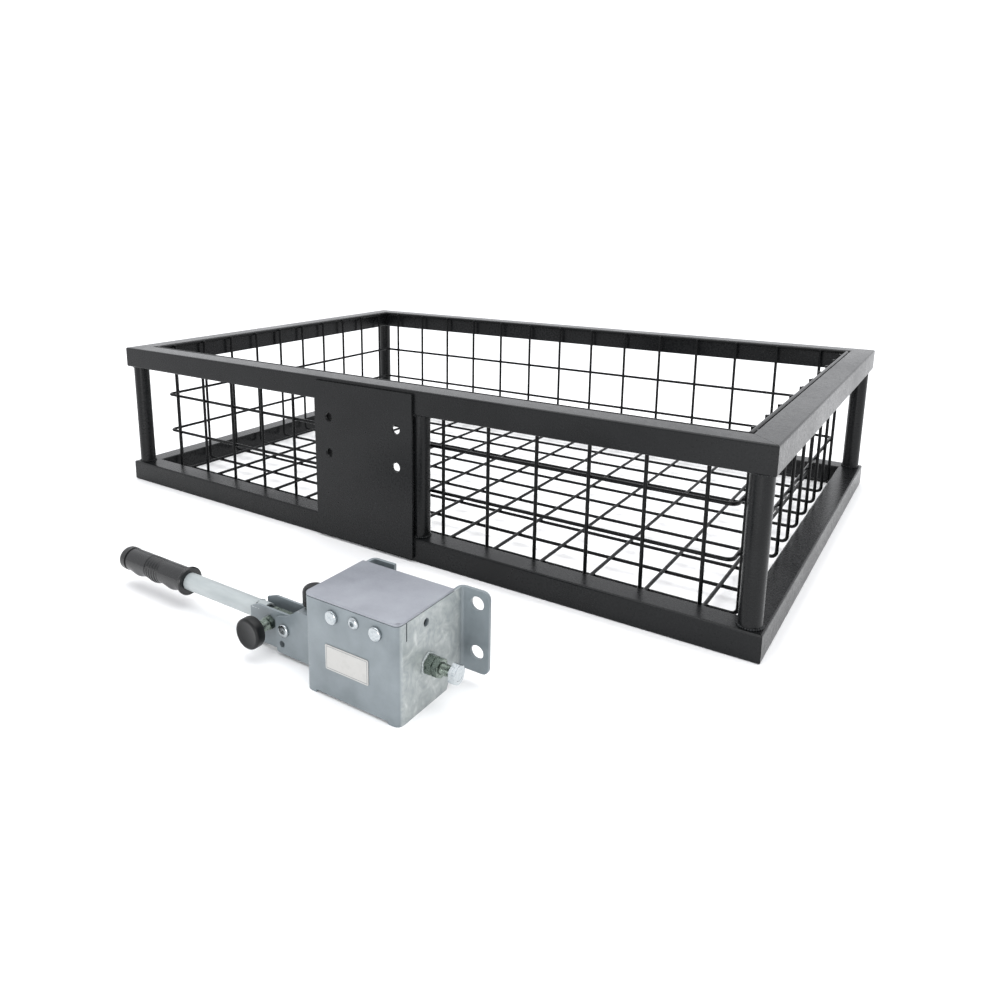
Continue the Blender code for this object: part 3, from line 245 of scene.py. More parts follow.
def label_foil(centre, width, height):
    """White vinyl label, blank, with a thin printed border and a slightly lifted gloss."""
    made = surface("white_label_foil", ("#a2a19e", "#aaa9a6", "#a6a5a2"), 12, 1.0, 0.01, (0.3, 0.4))
    tree = made.node_tree
    shader = tree.nodes["Principled BSDF"]
    at = add(tree, "ShaderNodeTexCoord").outputs["Object"]
    moved = add(tree, "ShaderNodeMapping", {"Vector": at, "Location": tuple(-c for c in centre)}).outputs["Vector"]
    away = add(tree, "ShaderNodeVectorMath", {0: moved}, operation="ABSOLUTE").outputs["Vector"]
    parts = add(tree, "ShaderNodeSeparateXYZ", {"Vector": away}).outputs
    side = add(tree, "ShaderNodeMath", {0: parts["X"], 1: width / 2}, operation="SUBTRACT").outputs[0]
    top = add(tree, "ShaderNodeMath", {0: parts["Z"], 1: height / 2}, operation="SUBTRACT").outputs[0]
    rim = add(tree, "ShaderNodeMath", {0: side, 1: top}, operation="MAXIMUM").outputs[0]
    line = {0: rim, 1: -1.6 * MM, 2: 0.35 * MM}
    border = add(tree, "ShaderNodeMath", line, operation="COMPARE").outputs[0]
    paper = shader.inputs["Base Color"].links[0].from_socket
    tone = add(tree, "ShaderNodeMix", {0: border, 6: paper, 7: "#737677"}, data_type="RGBA").outputs[2]
    tree.links.new(tone, shader.inputs["Base Color"])
    return made


COAT = black_coat()
ROD = wire_coat()
SEAM = weld_coat()
PAINT = grey_paint()
TUBE_PAINT = tube_paint()
LID_PAINT = cover_paint()
ZINC = bright_zinc()
DULL = olive_zinc()
FORGED = forged()
PLASTIC = black_plastic()
VINYL = vinyl()
BEAD = bead_metal()


# ---- Making pieces


def place(name, mesh, finish, slot, body, stands_for):
    """Puts a finished mesh into the scene, on its body, in the place of the frame's solids."""
    piece = bpy.data.objects.new(name, mesh)
    bpy.context.scene.collection.objects.link(piece)
    if finish:
        mesh.materials.clear()
        mesh.materials.append(finish)
    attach(piece, body)
    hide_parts(*stands_for)
    return piece


def from_shape(name, shape, smooth=30):
    """A mesh from a closed shape, its doubles merged, its faces turned outwards and its soft edges shaded round."""
    bmesh.ops.remove_doubles(shape, verts=shape.verts, dist=1e-6)
    bmesh.ops.dissolve_degenerate(shape, dist=1e-7, edges=shape.edges)
    bmesh.ops.recalc_face_normals(shape, faces=shape.faces)
    mesh = bpy.data.meshes.new(name)
    shape.to_mesh(mesh)
    shape.free()
    mesh.shade_smooth()
    mesh.set_sharp_from_angle(angle=math.radians(smooth))
    return mesh


def dressed(node, finish, slot, edge=0.4):
    """A copy of a frame solid with its seams merged, its flat faces whole and its edges eased by a small round."""
    shape = bmesh.new()
    shape.from_mesh(frame["nodes"][node].data)
    bmesh.ops.remove_doubles(shape, verts=shape.verts, dist=1e-5)
    bmesh.ops.dissolve_limit(shape, angle_limit=math.radians(0.8), verts=shape.verts, edges=shape.edges)
    mesh = bpy.data.meshes.new(f"{node}_finished")
    shape.to_mesh(mesh)
    shape.free()
    mesh.shade_smooth()
    mesh.set_sharp_from_angle(angle=math.radians(32))
    piece = place(f"{node}_finished", mesh, finish, slot, HOME[node], [node])
    if edge:
        ease = piece.modifiers.new("eased_edges", "BEVEL")
        ease.width = edge * MM
        ease.segments = 2
        ease.limit_method = "ANGLE"
        ease.angle_limit = math.radians(35)
        ease.harden_normals = True
    else:
        piece.modifiers.new("flat_faces", "WEIGHTED_NORMAL").keep_sharp = True
    return piece


def spot(axis, along, across, up):
    return {"X": (along, across, up), "Y": (across, along, up), "Z": (across, up, along)}[axis]


def turned(name, axis, centre, profile, sides=48, smooth=30):
    """A turned shape round an axis. profile is a closed loop of (radius, along), or a function of the angle."""
    shape = bmesh.new()
    lines = []
    for i in range(sides):
        angle = 2 * math.pi * i / sides
        points = profile(angle) if callable(profile) else profile
        c, s = math.cos(angle), math.sin(angle)
        lines.append([shape.verts.new(Vector(centre) + Vector(spot(axis, a, r * c, r * s))) for r, a in points])
    for one, two in zip(lines, lines[1:] + lines[:1]):
        for k in range(len(one)):
            n = (k + 1) % len(one)
            shape.faces.new((one[k], two[k], two[n], one[n]))
    return from_shape(name, shape, smooth)


def hex_radius(angle, flats):
    """How far a hexagon reaches at an angle."""
    return flats / 2 / math.cos((angle + math.pi / 6) % (math.pi / 3) - math.pi / 6)


def hex_profile(flats, low, high, bore):
    """A nut's or head's section at an angle, with its corners chamfered round at both ends."""
    circle = flats / 2 * 0.96

    def at(angle):
        reach = hex_radius(angle, flats)
        drop = (reach - circle) * 0.55
        return [(bore, low), (circle, low), (reach, low + drop), (reach, high - drop), (circle, high), (bore, high)]

    return at


def thread_profile(radius, low, high, pitch, depth, steps=6):
    """A screw thread's section at an angle, rising one pitch a turn."""

    def at(angle):
        points = [(0, low), (radius - depth, low)]
        count = int((high - low) / pitch * steps)
        for i in range(1, count):
            along = low + (high - low) * i / count
            phase = (along / pitch - angle / (2 * math.pi)) % 1
            points.append((radius - depth * abs(2 * phase - 1), along))
        return points + [(radius - depth, high), (0, high)]

    return at


# ---- Geometry nodes for rods and welds


def node_tree(name, inputs):
    """An empty tree whose named inputs are its sizes, and the sockets that they come in by."""
    tree = bpy.data.node_groups.new(name, "GeometryNodeTree")
    for title, kind in (("Geometry", "Geometry"), *inputs, ("Finish", "Material")):
        tree.interface.new_socket(title, in_out="INPUT", socket_type=f"NodeSocket{kind}")
    tree.interface.new_socket("Geometry", in_out="OUTPUT", socket_type="NodeSocketGeometry")
    return tree, add(tree, "NodeGroupInput").outputs


def close_tree(tree, geometry, finish):
    whole = add(tree, "GeometryNodeRealizeInstances", {"Geometry": geometry}).outputs["Geometry"]
    coated = add(tree, "GeometryNodeSetMaterial", {"Geometry": whole, "Material": finish}).outputs["Geometry"]
    add(tree, "NodeGroupOutput", {"Geometry": coated})
    return tree


def rod_tree():
    """A path becomes a row of equal rods of round section."""
    inputs = (("Diameter", "Float"), ("Sides", "Int"), ("Count", "Int"), ("Pitch", "Vector"))
    tree, inlet = node_tree("rods_along_paths", inputs)
    path = add(tree, "GeometryNodeMeshToCurve", {"Mesh": inlet["Geometry"]}).outputs["Curve"]
    radius = add(tree, "ShaderNodeMath", {0: inlet["Diameter"], 1: 0.5}, operation="MULTIPLY").outputs[0]
    section = {"Resolution": inlet["Sides"], "Radius": radius}
    ring = add(tree, "GeometryNodeCurvePrimitiveCircle", section).outputs["Curve"]
    rod = add(tree, "GeometryNodeCurveToMesh", {"Curve": path, "Profile Curve": ring, "Fill Caps": True})
    row = add(tree, "GeometryNodeMeshLine", {"Count": inlet["Count"], "Offset": inlet["Pitch"]}, mode="OFFSET")
    spread = {"Points": row.outputs["Mesh"], "Instance": rod.outputs["Mesh"]}
    rods = add(tree, "GeometryNodeInstanceOnPoints", spread).outputs["Instances"]
    return close_tree(tree, rods, inlet["Finish"])


def bead_tree():
    """Points become small lumps of weld, each turned and sized a little differently."""
    tree, inlet = node_tree("weld_beads", (("Radius", "Float"), ("Unevenness", "Float"), ("Seed", "Int")))
    lump = add(tree, "GeometryNodeMeshIcoSphere", {"Radius": inlet["Radius"], "Subdivisions": 2}).outputs["Mesh"]
    small = add(tree, "ShaderNodeMath", {0: 1.0, 1: inlet["Unevenness"]}, operation="SUBTRACT").outputs[0]
    sizes = {2: small, 3: 1.0, "Seed": inlet["Seed"]}
    scale = add(tree, "FunctionNodeRandomValue", sizes, data_type="FLOAT").outputs[1]
    turns = {0: (0.0, 0.0, 0.0), 1: (6.28, 6.28, 6.28), "Seed": inlet["Seed"]}
    turn = add(tree, "FunctionNodeRandomValue", turns, data_type="FLOAT_VECTOR").outputs[0]
    spread = {"Points": inlet["Geometry"], "Instance": lump, "Rotation": turn, "Scale": scale}
    lumps = add(tree, "GeometryNodeInstanceOnPoints", spread).outputs["Instances"]
    smooth = add(tree, "GeometryNodeSetShadeSmooth", {"Geometry": lumps}).outputs["Geometry"]
    return close_tree(tree, smooth, inlet["Finish"])


def grown(name, tree, points, edges, slot, body, stands_for=(), smooth=40, **sizes):
    """Runs a tree on points and edges, keeps the plain mesh that comes out and drops the modifier."""
    seed_mesh = bpy.data.meshes.new(f"{name}_path")
    seed_mesh.from_pydata([tuple(p) for p in points], edges, [])
    seed = bpy.data.objects.new(f"{name}_path", seed_mesh)
    bpy.context.scene.collection.objects.link(seed)
    modifier = seed.modifiers.new("grow", "NODES")
    modifier.node_group = tree
    for item in tree.interface.items_tree:
        if item.in_out == "INPUT" and item.name in sizes:
            modifier[item.identifier] = sizes[item.name]
    graph = bpy.context.evaluated_depsgraph_get()
    mesh = bpy.data.meshes.new_from_object(seed.evaluated_get(graph))
    bpy.data.objects.remove(seed)
    mesh.name = name
    mesh.shade_smooth()
    mesh.set_sharp_from_angle(angle=math.radians(smooth))
    return place(name, mesh, None, slot, body, stands_for)


def rounded(points, radius, closed=False, steps=6):
    """A path with each corner bent to a radius."""
    points = [Vector(p) for p in points]
    path = []
    for i, corner in enumerate(points):
        if not closed and i in (0, len(points) - 1):
            path.append(corner)
            continue
        back = (points[i - 1] - corner).normalized()
        on = (points[(i + 1) % len(points)] - corner).normalized()
        half = back.angle(on) / 2
        centre = corner + (back + on).normalized() * radius / math.sin(half)
        start = corner + back * radius / math.tan(half) - centre
        end = corner + on * radius / math.tan(half) - centre
        for k in range(steps + 1):
            path.append(centre + start.slerp(end, k / steps).normalized() * radius)
    return path


def chain(count, closed=False):
    return [(i, i + 1) for i in range(count - 1)] + ([(count - 1, 0)] if closed else [])


RODS = rod_tree()
BEADS = bead_tree()


# ---- Basket


LEFT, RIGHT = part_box("top_rail_left")[0].x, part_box("top_rail_right")[1].x
FRONT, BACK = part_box("top_rail_front")[0].y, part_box("top_rail_back")[1].y
MIDDLE = (FRONT + BACK) / 2
LONG_PANELS = ["liner_floor", "liner_front", "liner_back"]
SHORT_PANELS = ["liner_floor", "liner_left", "liner_right"]
ALL_SIDES = ["liner_front", "liner_back", "liner_left", "liner_right"]
LONG_PLACES = [(i - (LONG_COUNT - 1) / 2) * LONG_PITCH for i in range(LONG_COUNT)]
SHORT_PLACES = [MIDDLE + (i - (SHORT_COUNT - 1) / 2) * SHORT_PITCH for i in range(SHORT_COUNT)]


def basket_tubes():
    for level in ("bottom", "top"):
        for side in ("front", "back", "left", "right"):
            dressed(f"{level}_rail_{side}", COAT, "frame_black", edge=0)
    dressed("mounting_plate", COAT, "frame_black", edge=0.7)
    ring = []
    for node in [n for n in HOME if "post" in n]:
        low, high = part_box(node)
        at, radius, wall, ease = middle(node), size(node).x / 2, 1.5 * MM, 0.4 * MM
        profile = [(radius - wall, low.z), (radius - ease, low.z), (radius, low.z + ease)]
        profile += [(radius, high.z - ease), (radius - ease, high.z), (radius - wall, high.z)]
        mesh = turned(f"{node}_finished", "Z", (at.x, at.y, 0), profile, 56)
        place(mesh.name, mesh, COAT, "frame_black", "basket", [node])
        ring += [(at.x, at.y, radius, low.z + 0.7 * MM), (at.x, at.y, radius, high.z - 0.7 * MM)]
    points, around = [], 30
    for x, y, radius, z in ring:
        for i in range(around):
            angle = 2 * math.pi * i / around
            reach = radius + 0.2 * MM
            points.append((x + reach * math.cos(angle), y + reach * math.sin(angle), z))
    grown("post_welds", BEADS, points, [], "frame_black", "basket",
          Radius=1.7 * MM, Unevenness=0.35, Seed=3, Finish=SEAM)


def loop(inset, height, radius):
    """A closed ring of rod round the inside of the basket."""
    x, y = (LEFT + inset, RIGHT - inset), (FRONT + inset, BACK - inset)
    corners = [(x[0], y[0], height), (x[1], y[0], height), (x[1], y[1], height), (x[0], y[1], height)]
    return rounded(corners, radius, closed=True)


def liner():
    """Bent rods: a row down, across and up each way, three rings round them, and weld at each crossing."""
    x, y = LONG_PLACES[0], (FRONT + WIRE_INSET, BACK - WIRE_INSET)
    path = [(x, y[0], TIP_HEIGHT), (x, y[0], FLOOR_HEIGHT), (x, y[1], FLOOR_HEIGHT), (x, y[1], TIP_HEIGHT)]
    path = rounded(path, WIRE_BEND)
    row = {"Diameter": WIRE, "Sides": 12, "Finish": ROD}
    grown("liner_rods_lengthwise_row", RODS, path, chain(len(path)), "wire_black", "basket", LONG_PANELS,
          Count=LONG_COUNT, Pitch=(LONG_PITCH, 0, 0), **row)
    y, x = SHORT_PLACES[0], (LEFT + WIRE_INSET, RIGHT - WIRE_INSET)
    path = [(x[0], y, TIP_HEIGHT), (x[0], y, CROSS_HEIGHT), (x[1], y, CROSS_HEIGHT), (x[1], y, TIP_HEIGHT)]
    path = rounded(path, WIRE_BEND)
    grown("liner_rods_crosswise_row", RODS, path, chain(len(path)), "wire_black", "basket", SHORT_PANELS,
          Count=SHORT_COUNT, Pitch=(0, SHORT_PITCH, 0), **row)
    path = loop(RING_INSET, RING_HEIGHTS[0], 10 * MM)
    rise = RING_HEIGHTS[1] - RING_HEIGHTS[0]
    grown("liner_middle_rings", RODS, path, chain(len(path), True), "wire_black", "basket", ALL_SIDES,
          Count=2, Pitch=(0, 0, rise), **row)
    path = loop(RIM_INSET, RIM_HEIGHT, 5 * MM)
    row["Diameter"] = RIM_WIRE
    grown("liner_rim", RODS, path, chain(len(path), True), "wire_black", "basket", ALL_SIDES,
          Count=1, Pitch=(0, 0, 0), **row)
    tacks, inset = [], RAIL_WIDTH + 0.6 * MM
    for across in (-1, 1):
        for bit in (-1.5, 0, 1.5):
            x = across * (RIGHT - TACK_INSET) + bit * MM
            y = MIDDLE + across * ((BACK - FRONT) / 2 - TACK_INSET) + bit * MM
            tacks += [(x, FRONT + inset, RIM_HEIGHT), (x, BACK - inset, RIM_HEIGHT)]
            tacks += [(LEFT + inset, y, RIM_HEIGHT), (RIGHT - inset, y, RIM_HEIGHT)]
    grown("liner_tacks", BEADS, tacks, [], "wire_black", "basket", ALL_SIDES,
          Radius=2.2 * MM, Unevenness=0.2, Seed=5, Finish=SEAM)
    rim_side = RIM_INSET + RIM_WIRE / 2
    ring_side = WIRE_INSET + WIRE / 2
    spots = [(x, y, (FLOOR_HEIGHT + CROSS_HEIGHT) / 2) for x in LONG_PLACES for y in SHORT_PLACES]
    for height, inset in ((RING_HEIGHTS[0], ring_side), (RING_HEIGHTS[1], ring_side), (RIM_HEIGHT, rim_side)):
        spots += [(x, y, height) for x in LONG_PLACES for y in (FRONT + inset, BACK - inset)]
        spots += [(x, y, height) for y in SHORT_PLACES for x in (LEFT + inset, RIGHT - inset)]
    grown("liner_weld_spots", BEADS, spots, [], "wire_black", "basket", Radius=2.4 * MM, Unevenness=0.25, Seed=8,
          Finish=ROD)


# ---- Coupling box


def pin(node, head, finish):
    """A pin with a chamfered, slightly dished head towards the front and a chamfered tail."""
    low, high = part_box(node)
    at, radius, shank = middle(node), size(node).x / 2, PIN_SHANK
    profile = [(0, low.y + 0.35 * MM), (radius * 0.5, low.y + 0.2 * MM), (radius - 1.3 * MM, low.y)]
    profile += [(radius - 0.3 * MM, low.y + 0.5 * MM), (radius, low.y + 1.2 * MM), (radius, low.y + head)]
    profile += [(shank, low.y + head), (shank, high.y - 1 * MM), (shank - 1 * MM, high.y), (0, high.y)]
    mesh = turned(f"{node}_finished", "Y", (at.x, 0, at.z), profile, 56, 50)
    place(mesh.name, mesh, finish, "zinc", HOME[node], [node])


def seat_screw():
    """A button head with a hexagon socket."""
    low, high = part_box("seat_screw")
    at, radius = middle("seat_screw"), size("seat_screw").x / 2

    def at_angle(angle):
        socket = hex_radius(angle, 5 * MM)
        points = [(0, low.y + 2.4 * MM), (socket * 0.98, low.y + 2.2 * MM), (socket, low.y + 0.25 * MM)]
        points += [(socket + 0.3 * MM, low.y), (radius - 2.6 * MM, low.y + 0.1 * MM)]
        points += [(radius - 1 * MM, low.y + 0.9 * MM), (radius - 0.1 * MM, low.y + 2 * MM)]
        points += [(radius, low.y + 2.7 * MM), (3 * MM, low.y + 2.7 * MM), (3 * MM, high.y)]
        return points + [(0, high.y)]

    mesh = turned("seat_screw_finished", "Y", (at.x, 0, at.z), at_angle, 60)
    place(mesh.name, mesh, ZINC, "zinc", "coupling", ["seat_screw"])


def hex_piece(node, finish, bore):
    low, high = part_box(node)
    at = middle(node)
    mesh = turned(f"{node}_finished", "X", (0, at.y, at.z), hex_profile(HEX_FLATS, low.x, high.x, bore), 72, 24)
    place(mesh.name, mesh, finish, "zinc", HOME[node], [node])


def adjusting_bolt():
    """A threaded shank with a chamfered hexagon head and a washer face under it."""
    low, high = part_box("adjusting_bolt")
    at, under = middle("adjusting_bolt"), high.x - 8 * MM
    shank = thread_profile(6 * MM, low.x + 1 * MM, under + 0.2 * MM, 1.75 * MM, 0.9 * MM)
    mesh = turned("adjusting_bolt_thread", "X", (0, at.y, at.z), shank, 36, 60)
    place(mesh.name, mesh, DULL, "zinc", "bolt", ["adjusting_bolt"])

    def head(angle):
        reach, circle = hex_radius(angle, HEX_FLATS), 9.1 * MM
        drop = (reach - circle) * 0.55
        points = [(0, under), (8.6 * MM, under), (8.6 * MM, under + 0.5 * MM), (reach, under + 0.5 * MM)]
        points += [(reach, high.x - drop), (circle, high.x), (6.2 * MM, high.x), (5.8 * MM, high.x - 0.3 * MM)]
        return points + [(0, high.x - 0.3 * MM)]

    mesh = turned("adjusting_bolt_head", "X", (0, at.y, at.z), head, 72, 24)
    place(mesh.name, mesh, ZINC, "zinc", "bolt", ["adjusting_bolt"])


def label():
    low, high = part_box("label_plate")
    wide, tall, corner = high.x - low.x, high.z - low.z, 1.5 * MM
    shape = bmesh.new()
    outline = []
    for cx, cz, start in ((1, 1, 0), (0, 1, 90), (0, 0, 180), (1, 0, 270)):
        x = low.x + corner + cx * (wide - 2 * corner)
        z = low.z + corner + cz * (tall - 2 * corner)
        for k in range(6):
            angle = math.radians(start + 18 * k)
            outline.append((x + corner * math.cos(angle), z + corner * math.sin(angle)))
    front = [shape.verts.new((x, low.y, z)) for x, z in outline]
    back = [shape.verts.new((x, high.y, z)) for x, z in outline]
    shape.faces.new(front)
    shape.faces.new(back[::-1])
    for i in range(len(outline)):
        j = (i + 1) % len(outline)
        shape.faces.new((front[i], back[i], back[j], front[j]))
    mesh = from_shape("label_finished", shape)
    place(mesh.name, mesh, label_foil(middle("label_plate"), wide, tall), "label", "coupling", ["label_plate"])


def nut_weld():
    """The bead that holds the nut to the wall, laid in short overlapping runs."""
    low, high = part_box("weld_nut")
    at = middle("weld_nut")
    points, around = [], 44
    for i in range(around):
        angle = 2 * math.pi * i / around
        reach = hex_radius(angle, HEX_FLATS) + 0.6 * MM
        points.append((low.x + 0.6 * MM, at.y + reach * math.cos(angle), at.z + reach * math.sin(angle)))
    grown("weld_nut_bead", BEADS, points, [], "coupling_grey", "coupling", Radius=1.9 * MM, Unevenness=0.4, Seed=5,
          Finish=BEAD)


def coupling_box():
    wall_x, flange_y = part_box("top_cover")[1].x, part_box("coupling_housing")[1].y
    paint = housing_paint(wall_x, flange_y, middle("weld_nut"))
    dressed("coupling_housing", paint, "coupling_grey", edge=0.6)
    dressed("top_cover", LID_PAINT, "coupling_grey", edge=0.5)
    dressed("pin_support_plate", PAINT, "coupling_grey")
    dressed("ball_seat", FORGED, "forged")
    for node in ("retaining_ring_left", "retaining_ring_right"):
        dressed(node, FORGED, "forged", edge=0.2)
    for node in ("jaw_pin_left", "jaw_pin_right"):
        pin(node, 3.5 * MM, ZINC)
    seat_screw()
    hex_piece("weld_nut", DULL, 6.3 * MM)
    hex_piece("lock_nut", DULL, 6.3 * MM)
    adjusting_bolt()
    label()
    nut_weld()
    dressed("left_jaw", FORGED, "forged")
    dressed("counter_jaw", FORGED, "forged")


# ---- Lever, latch and handle


def lever():
    dressed("arm_bracket", PAINT, "coupling_grey", edge=0.7)
    dressed("index_tongue", DULL, "zinc")
    low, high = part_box("fold_pin")
    at, radius = middle("fold_pin"), size("fold_pin").x / 2
    profile = [(0, low.y + 0.6 * MM), (radius * 0.45, low.y + 0.35 * MM), (radius * 0.8, low.y)]
    profile += [(radius - 0.2 * MM, low.y + 0.6 * MM), (radius, low.y + 1.3 * MM), (radius, low.y + 3.5 * MM)]
    profile += [(PIN_SHANK, low.y + 3.5 * MM), (PIN_SHANK, high.y - 3 * MM), (radius, high.y - 3 * MM)]
    profile += [(radius, high.y - 1.6 * MM), (radius - 1.5 * MM, high.y - 0.2 * MM), (0, high.y)]
    mesh = turned("fold_pin_finished", "Y", (at.x, 0, at.z), profile, 56, 50)
    place(mesh.name, mesh, ZINC, "zinc", "lever_arm", ["fold_pin"])
    low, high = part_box("latch_guide")
    at, outer = middle("latch_guide"), size("latch_guide").x / 2
    inner = outer - 2.5 * MM
    profile = [(inner, low.z), (outer - 0.3 * MM, low.z), (outer, low.z + 0.3 * MM), (outer, high.z - 0.6 * MM)]
    profile += [(outer - 0.6 * MM, high.z), (inner, high.z)]
    mesh = turned("latch_guide_finished", "Z", (at.x, at.y, 0), profile)
    place(mesh.name, mesh, DULL, "zinc", "lever_arm", ["latch_guide"])
    dressed("latch_spring", ZINC, "zinc", edge=0)


def latch():
    """A domed cap with a shallow grip groove round its skirt."""
    low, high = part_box("latch_button")
    at, outer = middle("latch_button"), size("latch_button").x / 2
    rim, crown = 67 * MM, 7 * MM
    profile = [(0, low.z), (4 * MM, low.z), (4 * MM, high.z - 5 * MM)]
    profile += [(11.5 * MM, high.z - 5 * MM), (11.5 * MM, rim), (outer - 0.5 * MM, rim)]
    profile += [(outer, rim + 0.5 * MM), (outer, rim + 5 * MM), (outer - 0.5 * MM, rim + 5.5 * MM)]
    profile += [(outer - 0.5 * MM, rim + 6.5 * MM), (outer, rim + 7 * MM)]
    for i in range(11):
        angle = math.radians(9 * i)
        profile.append((outer - crown + crown * math.cos(angle), high.z - crown + crown * math.sin(angle)))
    profile += [(0, high.z)]
    mesh = turned("latch_button_finished", "Z", (at.x, at.y, 0), profile, 56, 40)
    place(mesh.name, mesh, PLASTIC, "black_plastic", "latch", ["latch_button"])
    dressed("latch_clip", FORGED, "forged", edge=0.2)


def grip_profile(start, length, bore, depth):
    """The grip's section at an angle: a collar, three finger bumps under it, five ribs and a ringed end."""
    stations = [0.4 * i * MM for i in range(int(length / (0.4 * MM)) + 1)]
    stations = [s for i, s in enumerate(stations) if i % 3 == 0 or 0.34 * length < s < 0.62 * length or s < 12 * MM
                or s > length - 18 * MM]

    def reach(along, angle):
        collar, second = 4.5 * MM, 9.5 * MM
        if along < collar:
            edge = min(along, collar - along)
            return 18 * MM - max(0, 1 * MM - edge)
        if along < second:
            return 15.9 * MM
        radius = 15 * MM
        first, last = 12 * MM, length - 16 * MM
        if first < along < last:
            phase = (along - first) / (last - first) * 3
            under = max(0, -math.sin(angle)) ** 2
            radius += 3.5 * MM * under * (0.5 - 0.5 * math.cos(2 * math.pi * phase))
        rib_start, rib_end = 0.38 * length, 0.58 * length
        if rib_start < along < rib_end:
            phase = (along - rib_start) / (rib_end - rib_start) * 5
            radius -= 1.5 * MM * max(0, math.cos(2 * math.pi * phase)) ** 2
        groove = length - 14 * MM
        if abs(along - groove) < 1.4 * MM:
            radius -= 0.8 * MM
        elif along > groove:
            radius += 0.5 * MM
        crown = 6 * MM
        if along > length - crown:
            drop = (along - length + crown) / crown
            radius -= 3.6 * MM * (1 - math.sqrt(max(0, 1 - drop * drop)))
        return radius

    def at(angle):
        points = [(0, start - depth), (bore, start - depth), (bore, start)]
        points += [(reach(s, angle), start - s) for s in stations]
        return points + [(0, start - length)]

    return at


def grip():
    low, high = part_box("handle_grip")
    at = middle("handle_tube")
    profile = grip_profile(high.x, high.x - low.x, 11.3 * MM, 122.6 * MM)
    mesh = turned("handle_grip_finished", "X", (0, at.y, at.z), profile, 64, 45)
    place(mesh.name, mesh, VINYL, "grip", "handle", ["handle_grip"])


def handle():
    dressed("handle_channel", PAINT, "coupling_grey", edge=0.6)
    low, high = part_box("handle_tube")
    at, outer, wall, ease = middle("handle_tube"), size("handle_tube").z / 2, 2 * MM, 0.5 * MM
    profile = [(outer - wall, low.x), (outer - ease, low.x), (outer, low.x + ease), (outer, high.x - ease)]
    profile += [(outer - ease, high.x), (outer - wall, high.x)]
    mesh = turned("handle_tube_finished", "X", (0, at.y, at.z), profile, 56)
    place(mesh.name, mesh, TUBE_PAINT, "coupling_grey", "handle", ["handle_tube"])
    grip()
    seams = []
    channel_low, channel_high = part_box("handle_channel")
    for y in (channel_low.y + 1.2 * MM, channel_high.y - 1.2 * MM):
        for i in range(16):
            x = channel_low.x + 1 * MM + i * 0.9 * MM
            seams.append((x, y, at.z + 10.6 * MM))
    for i in range(13):
        angle = math.radians(-80 + 160 * i / 12)
        for side in (-1, 1):
            y = at.y + side * outer * math.cos(angle)
            seams.append((channel_low.x - 0.4 * MM, y, at.z + outer * math.sin(angle)))
    grown("handle_weld", BEADS, seams, [], "coupling_grey", "handle", Radius=1.5 * MM, Unevenness=0.35, Seed=11,
          Finish=TUBE_PAINT)


def plunger():
    low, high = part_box("plunger_sleeve")
    at = middle("plunger_sleeve")
    foot = high.y - 6 * MM
    steps = 40

    def sleeve(angle):
        """A threaded sleeve that ends in a hexagon."""
        points = [(4.3 * MM, low.y), (6.2 * MM, low.y)]
        for i in range(1, steps):
            along = low.y + (foot - low.y) * i / steps
            phase = (along / (1.5 * MM) - angle / (2 * math.pi)) % 1
            points.append((7 * MM - 0.7 * MM * abs(2 * phase - 1), along))
        reach = hex_radius(angle, 15 * MM)
        drop = (reach - 7.3 * MM) * 0.5
        points += [(6.6 * MM, foot), (7.3 * MM, foot), (reach, foot + drop), (reach, high.y - drop)]
        return points + [(7.3 * MM, high.y), (4.3 * MM, high.y)]

    mesh = turned("plunger_sleeve_finished", "Y", (at.x, 0, at.z), sleeve, 72, 24)
    place(mesh.name, mesh, DULL, "zinc", "handle", ["plunger_sleeve"])
    dressed("plunger_spring", ZINC, "zinc", edge=0)
    dressed("plunger_pin", ZINC, "zinc", edge=0.3)
    low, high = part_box("plunger_knob")
    at, radius = middle("plunger_knob"), size("plunger_knob").x / 2
    back = low.y + 12 * MM
    profile = [(0, low.y + 0.3 * MM), (radius - 4.5 * MM, low.y + 0.3 * MM), (radius - 3.8 * MM, low.y)]
    profile += [(radius - 2 * MM, low.y), (radius - 0.9 * MM, low.y + 0.4 * MM)]
    profile += [(radius - 0.2 * MM, low.y + 1.2 * MM)]
    profile += [(radius, low.y + 2.2 * MM), (radius, back - 2.2 * MM), (radius - 0.6 * MM, back - 0.7 * MM)]
    profile += [(radius - 2.2 * MM, back), (10 * MM, back), (9 * MM, high.y), (7.5 * MM, high.y)]
    profile += [(7.5 * MM, low.y + 7.1 * MM), (0, low.y + 7.1 * MM)]
    mesh = turned("plunger_knob_finished", "Y", (at.x, 0, at.z), profile, 72, 40)
    place(mesh.name, mesh, PLASTIC, "black_plastic", "plunger", ["plunger_knob"])


# ---- Studio


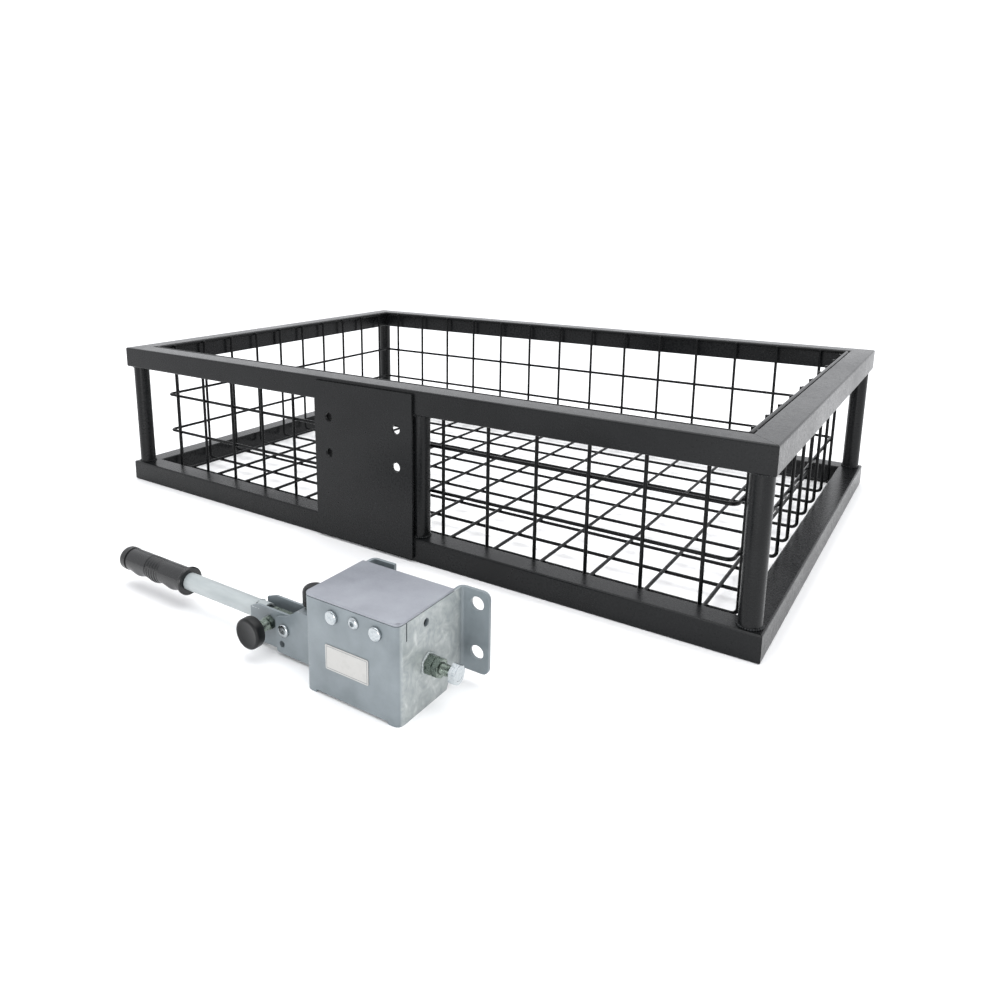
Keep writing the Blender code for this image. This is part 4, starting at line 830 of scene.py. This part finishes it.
def studio():
    """A pale floor, a sky that is brighter behind, one broad soft light above and one low in front."""
    scene = bpy.context.scene
    floor = bpy.data.meshes.new("floor")
    reach = 14
    corners = [(-reach, -reach, 0), (reach, -reach, 0), (reach, reach, 0), (-reach, reach, 0)]
    floor.from_pydata(corners, [], [(0, 1, 2, 3)])
    ground = bpy.data.objects.new("floor", floor)
    scene.collection.objects.link(ground)
    floor.materials.append(surface("matt_studio_floor", ("#fbfbfb", "#fefefe"), 700, 40, 0.0, (0.85, 0.95)))
    world = bpy.data.worlds.new("studio")
    scene.world = world
    world.use_nodes = True
    tree = world.node_tree
    sky = tree.nodes["Background"]
    sky.inputs["Color"].default_value = linear("#fbfcff")
    way = add(tree, "ShaderNodeTexCoord").outputs["Generated"]
    toward = add(tree, "ShaderNodeVectorMath", {0: way, 1: (-0.57, 0.82, 0.25)}, operation="DOT_PRODUCT")
    fade = {"Value": toward.outputs["Value"], "From Min": -0.8, "From Max": 0.1, "To Min": 0.82, "To Max": 1.35}
    tree.links.new(add(tree, "ShaderNodeMapRange", fade).outputs["Result"], sky.inputs["Strength"])
    lights = (
        ("overhead", (0.3, 0.2, 2.4), (0.0, 0.1, 0.0), 2.6, 46),
        ("front", (0.75, -1.9, 0.12), (0.45, 0.0, 0.2), 0.8, 20),
    )
    for name, where, toward, width, power in lights:
        lamp = bpy.data.lights.new(name, "AREA")
        lamp.size = width
        lamp.energy = power
        holder = bpy.data.objects.new(name, lamp)
        scene.collection.objects.link(holder)
        holder.location = where
        holder.rotation_euler = (Vector(toward) - Vector(where)).to_track_quat("-Z", "Y").to_euler()
    lens = bpy.data.cameras.new("camera")
    lens.lens = 28.61
    lens.sensor_width = 36
    lens.shift_x = 0.0624
    lens.shift_y = -0.1143
    lens.clip_start = 0.02
    camera = bpy.data.objects.new("camera", lens)
    scene.collection.objects.link(camera)
    camera.location = (0.7254, -0.8623, 0.4784)
    camera.rotation_euler = (math.radians(78.19), 0, math.radians(34.94))
    scene.camera = camera
    scene.view_settings.view_transform = "Standard"


basket_tubes()
liner()
coupling_box()
lever()
latch()
handle()
plunger()
studio()
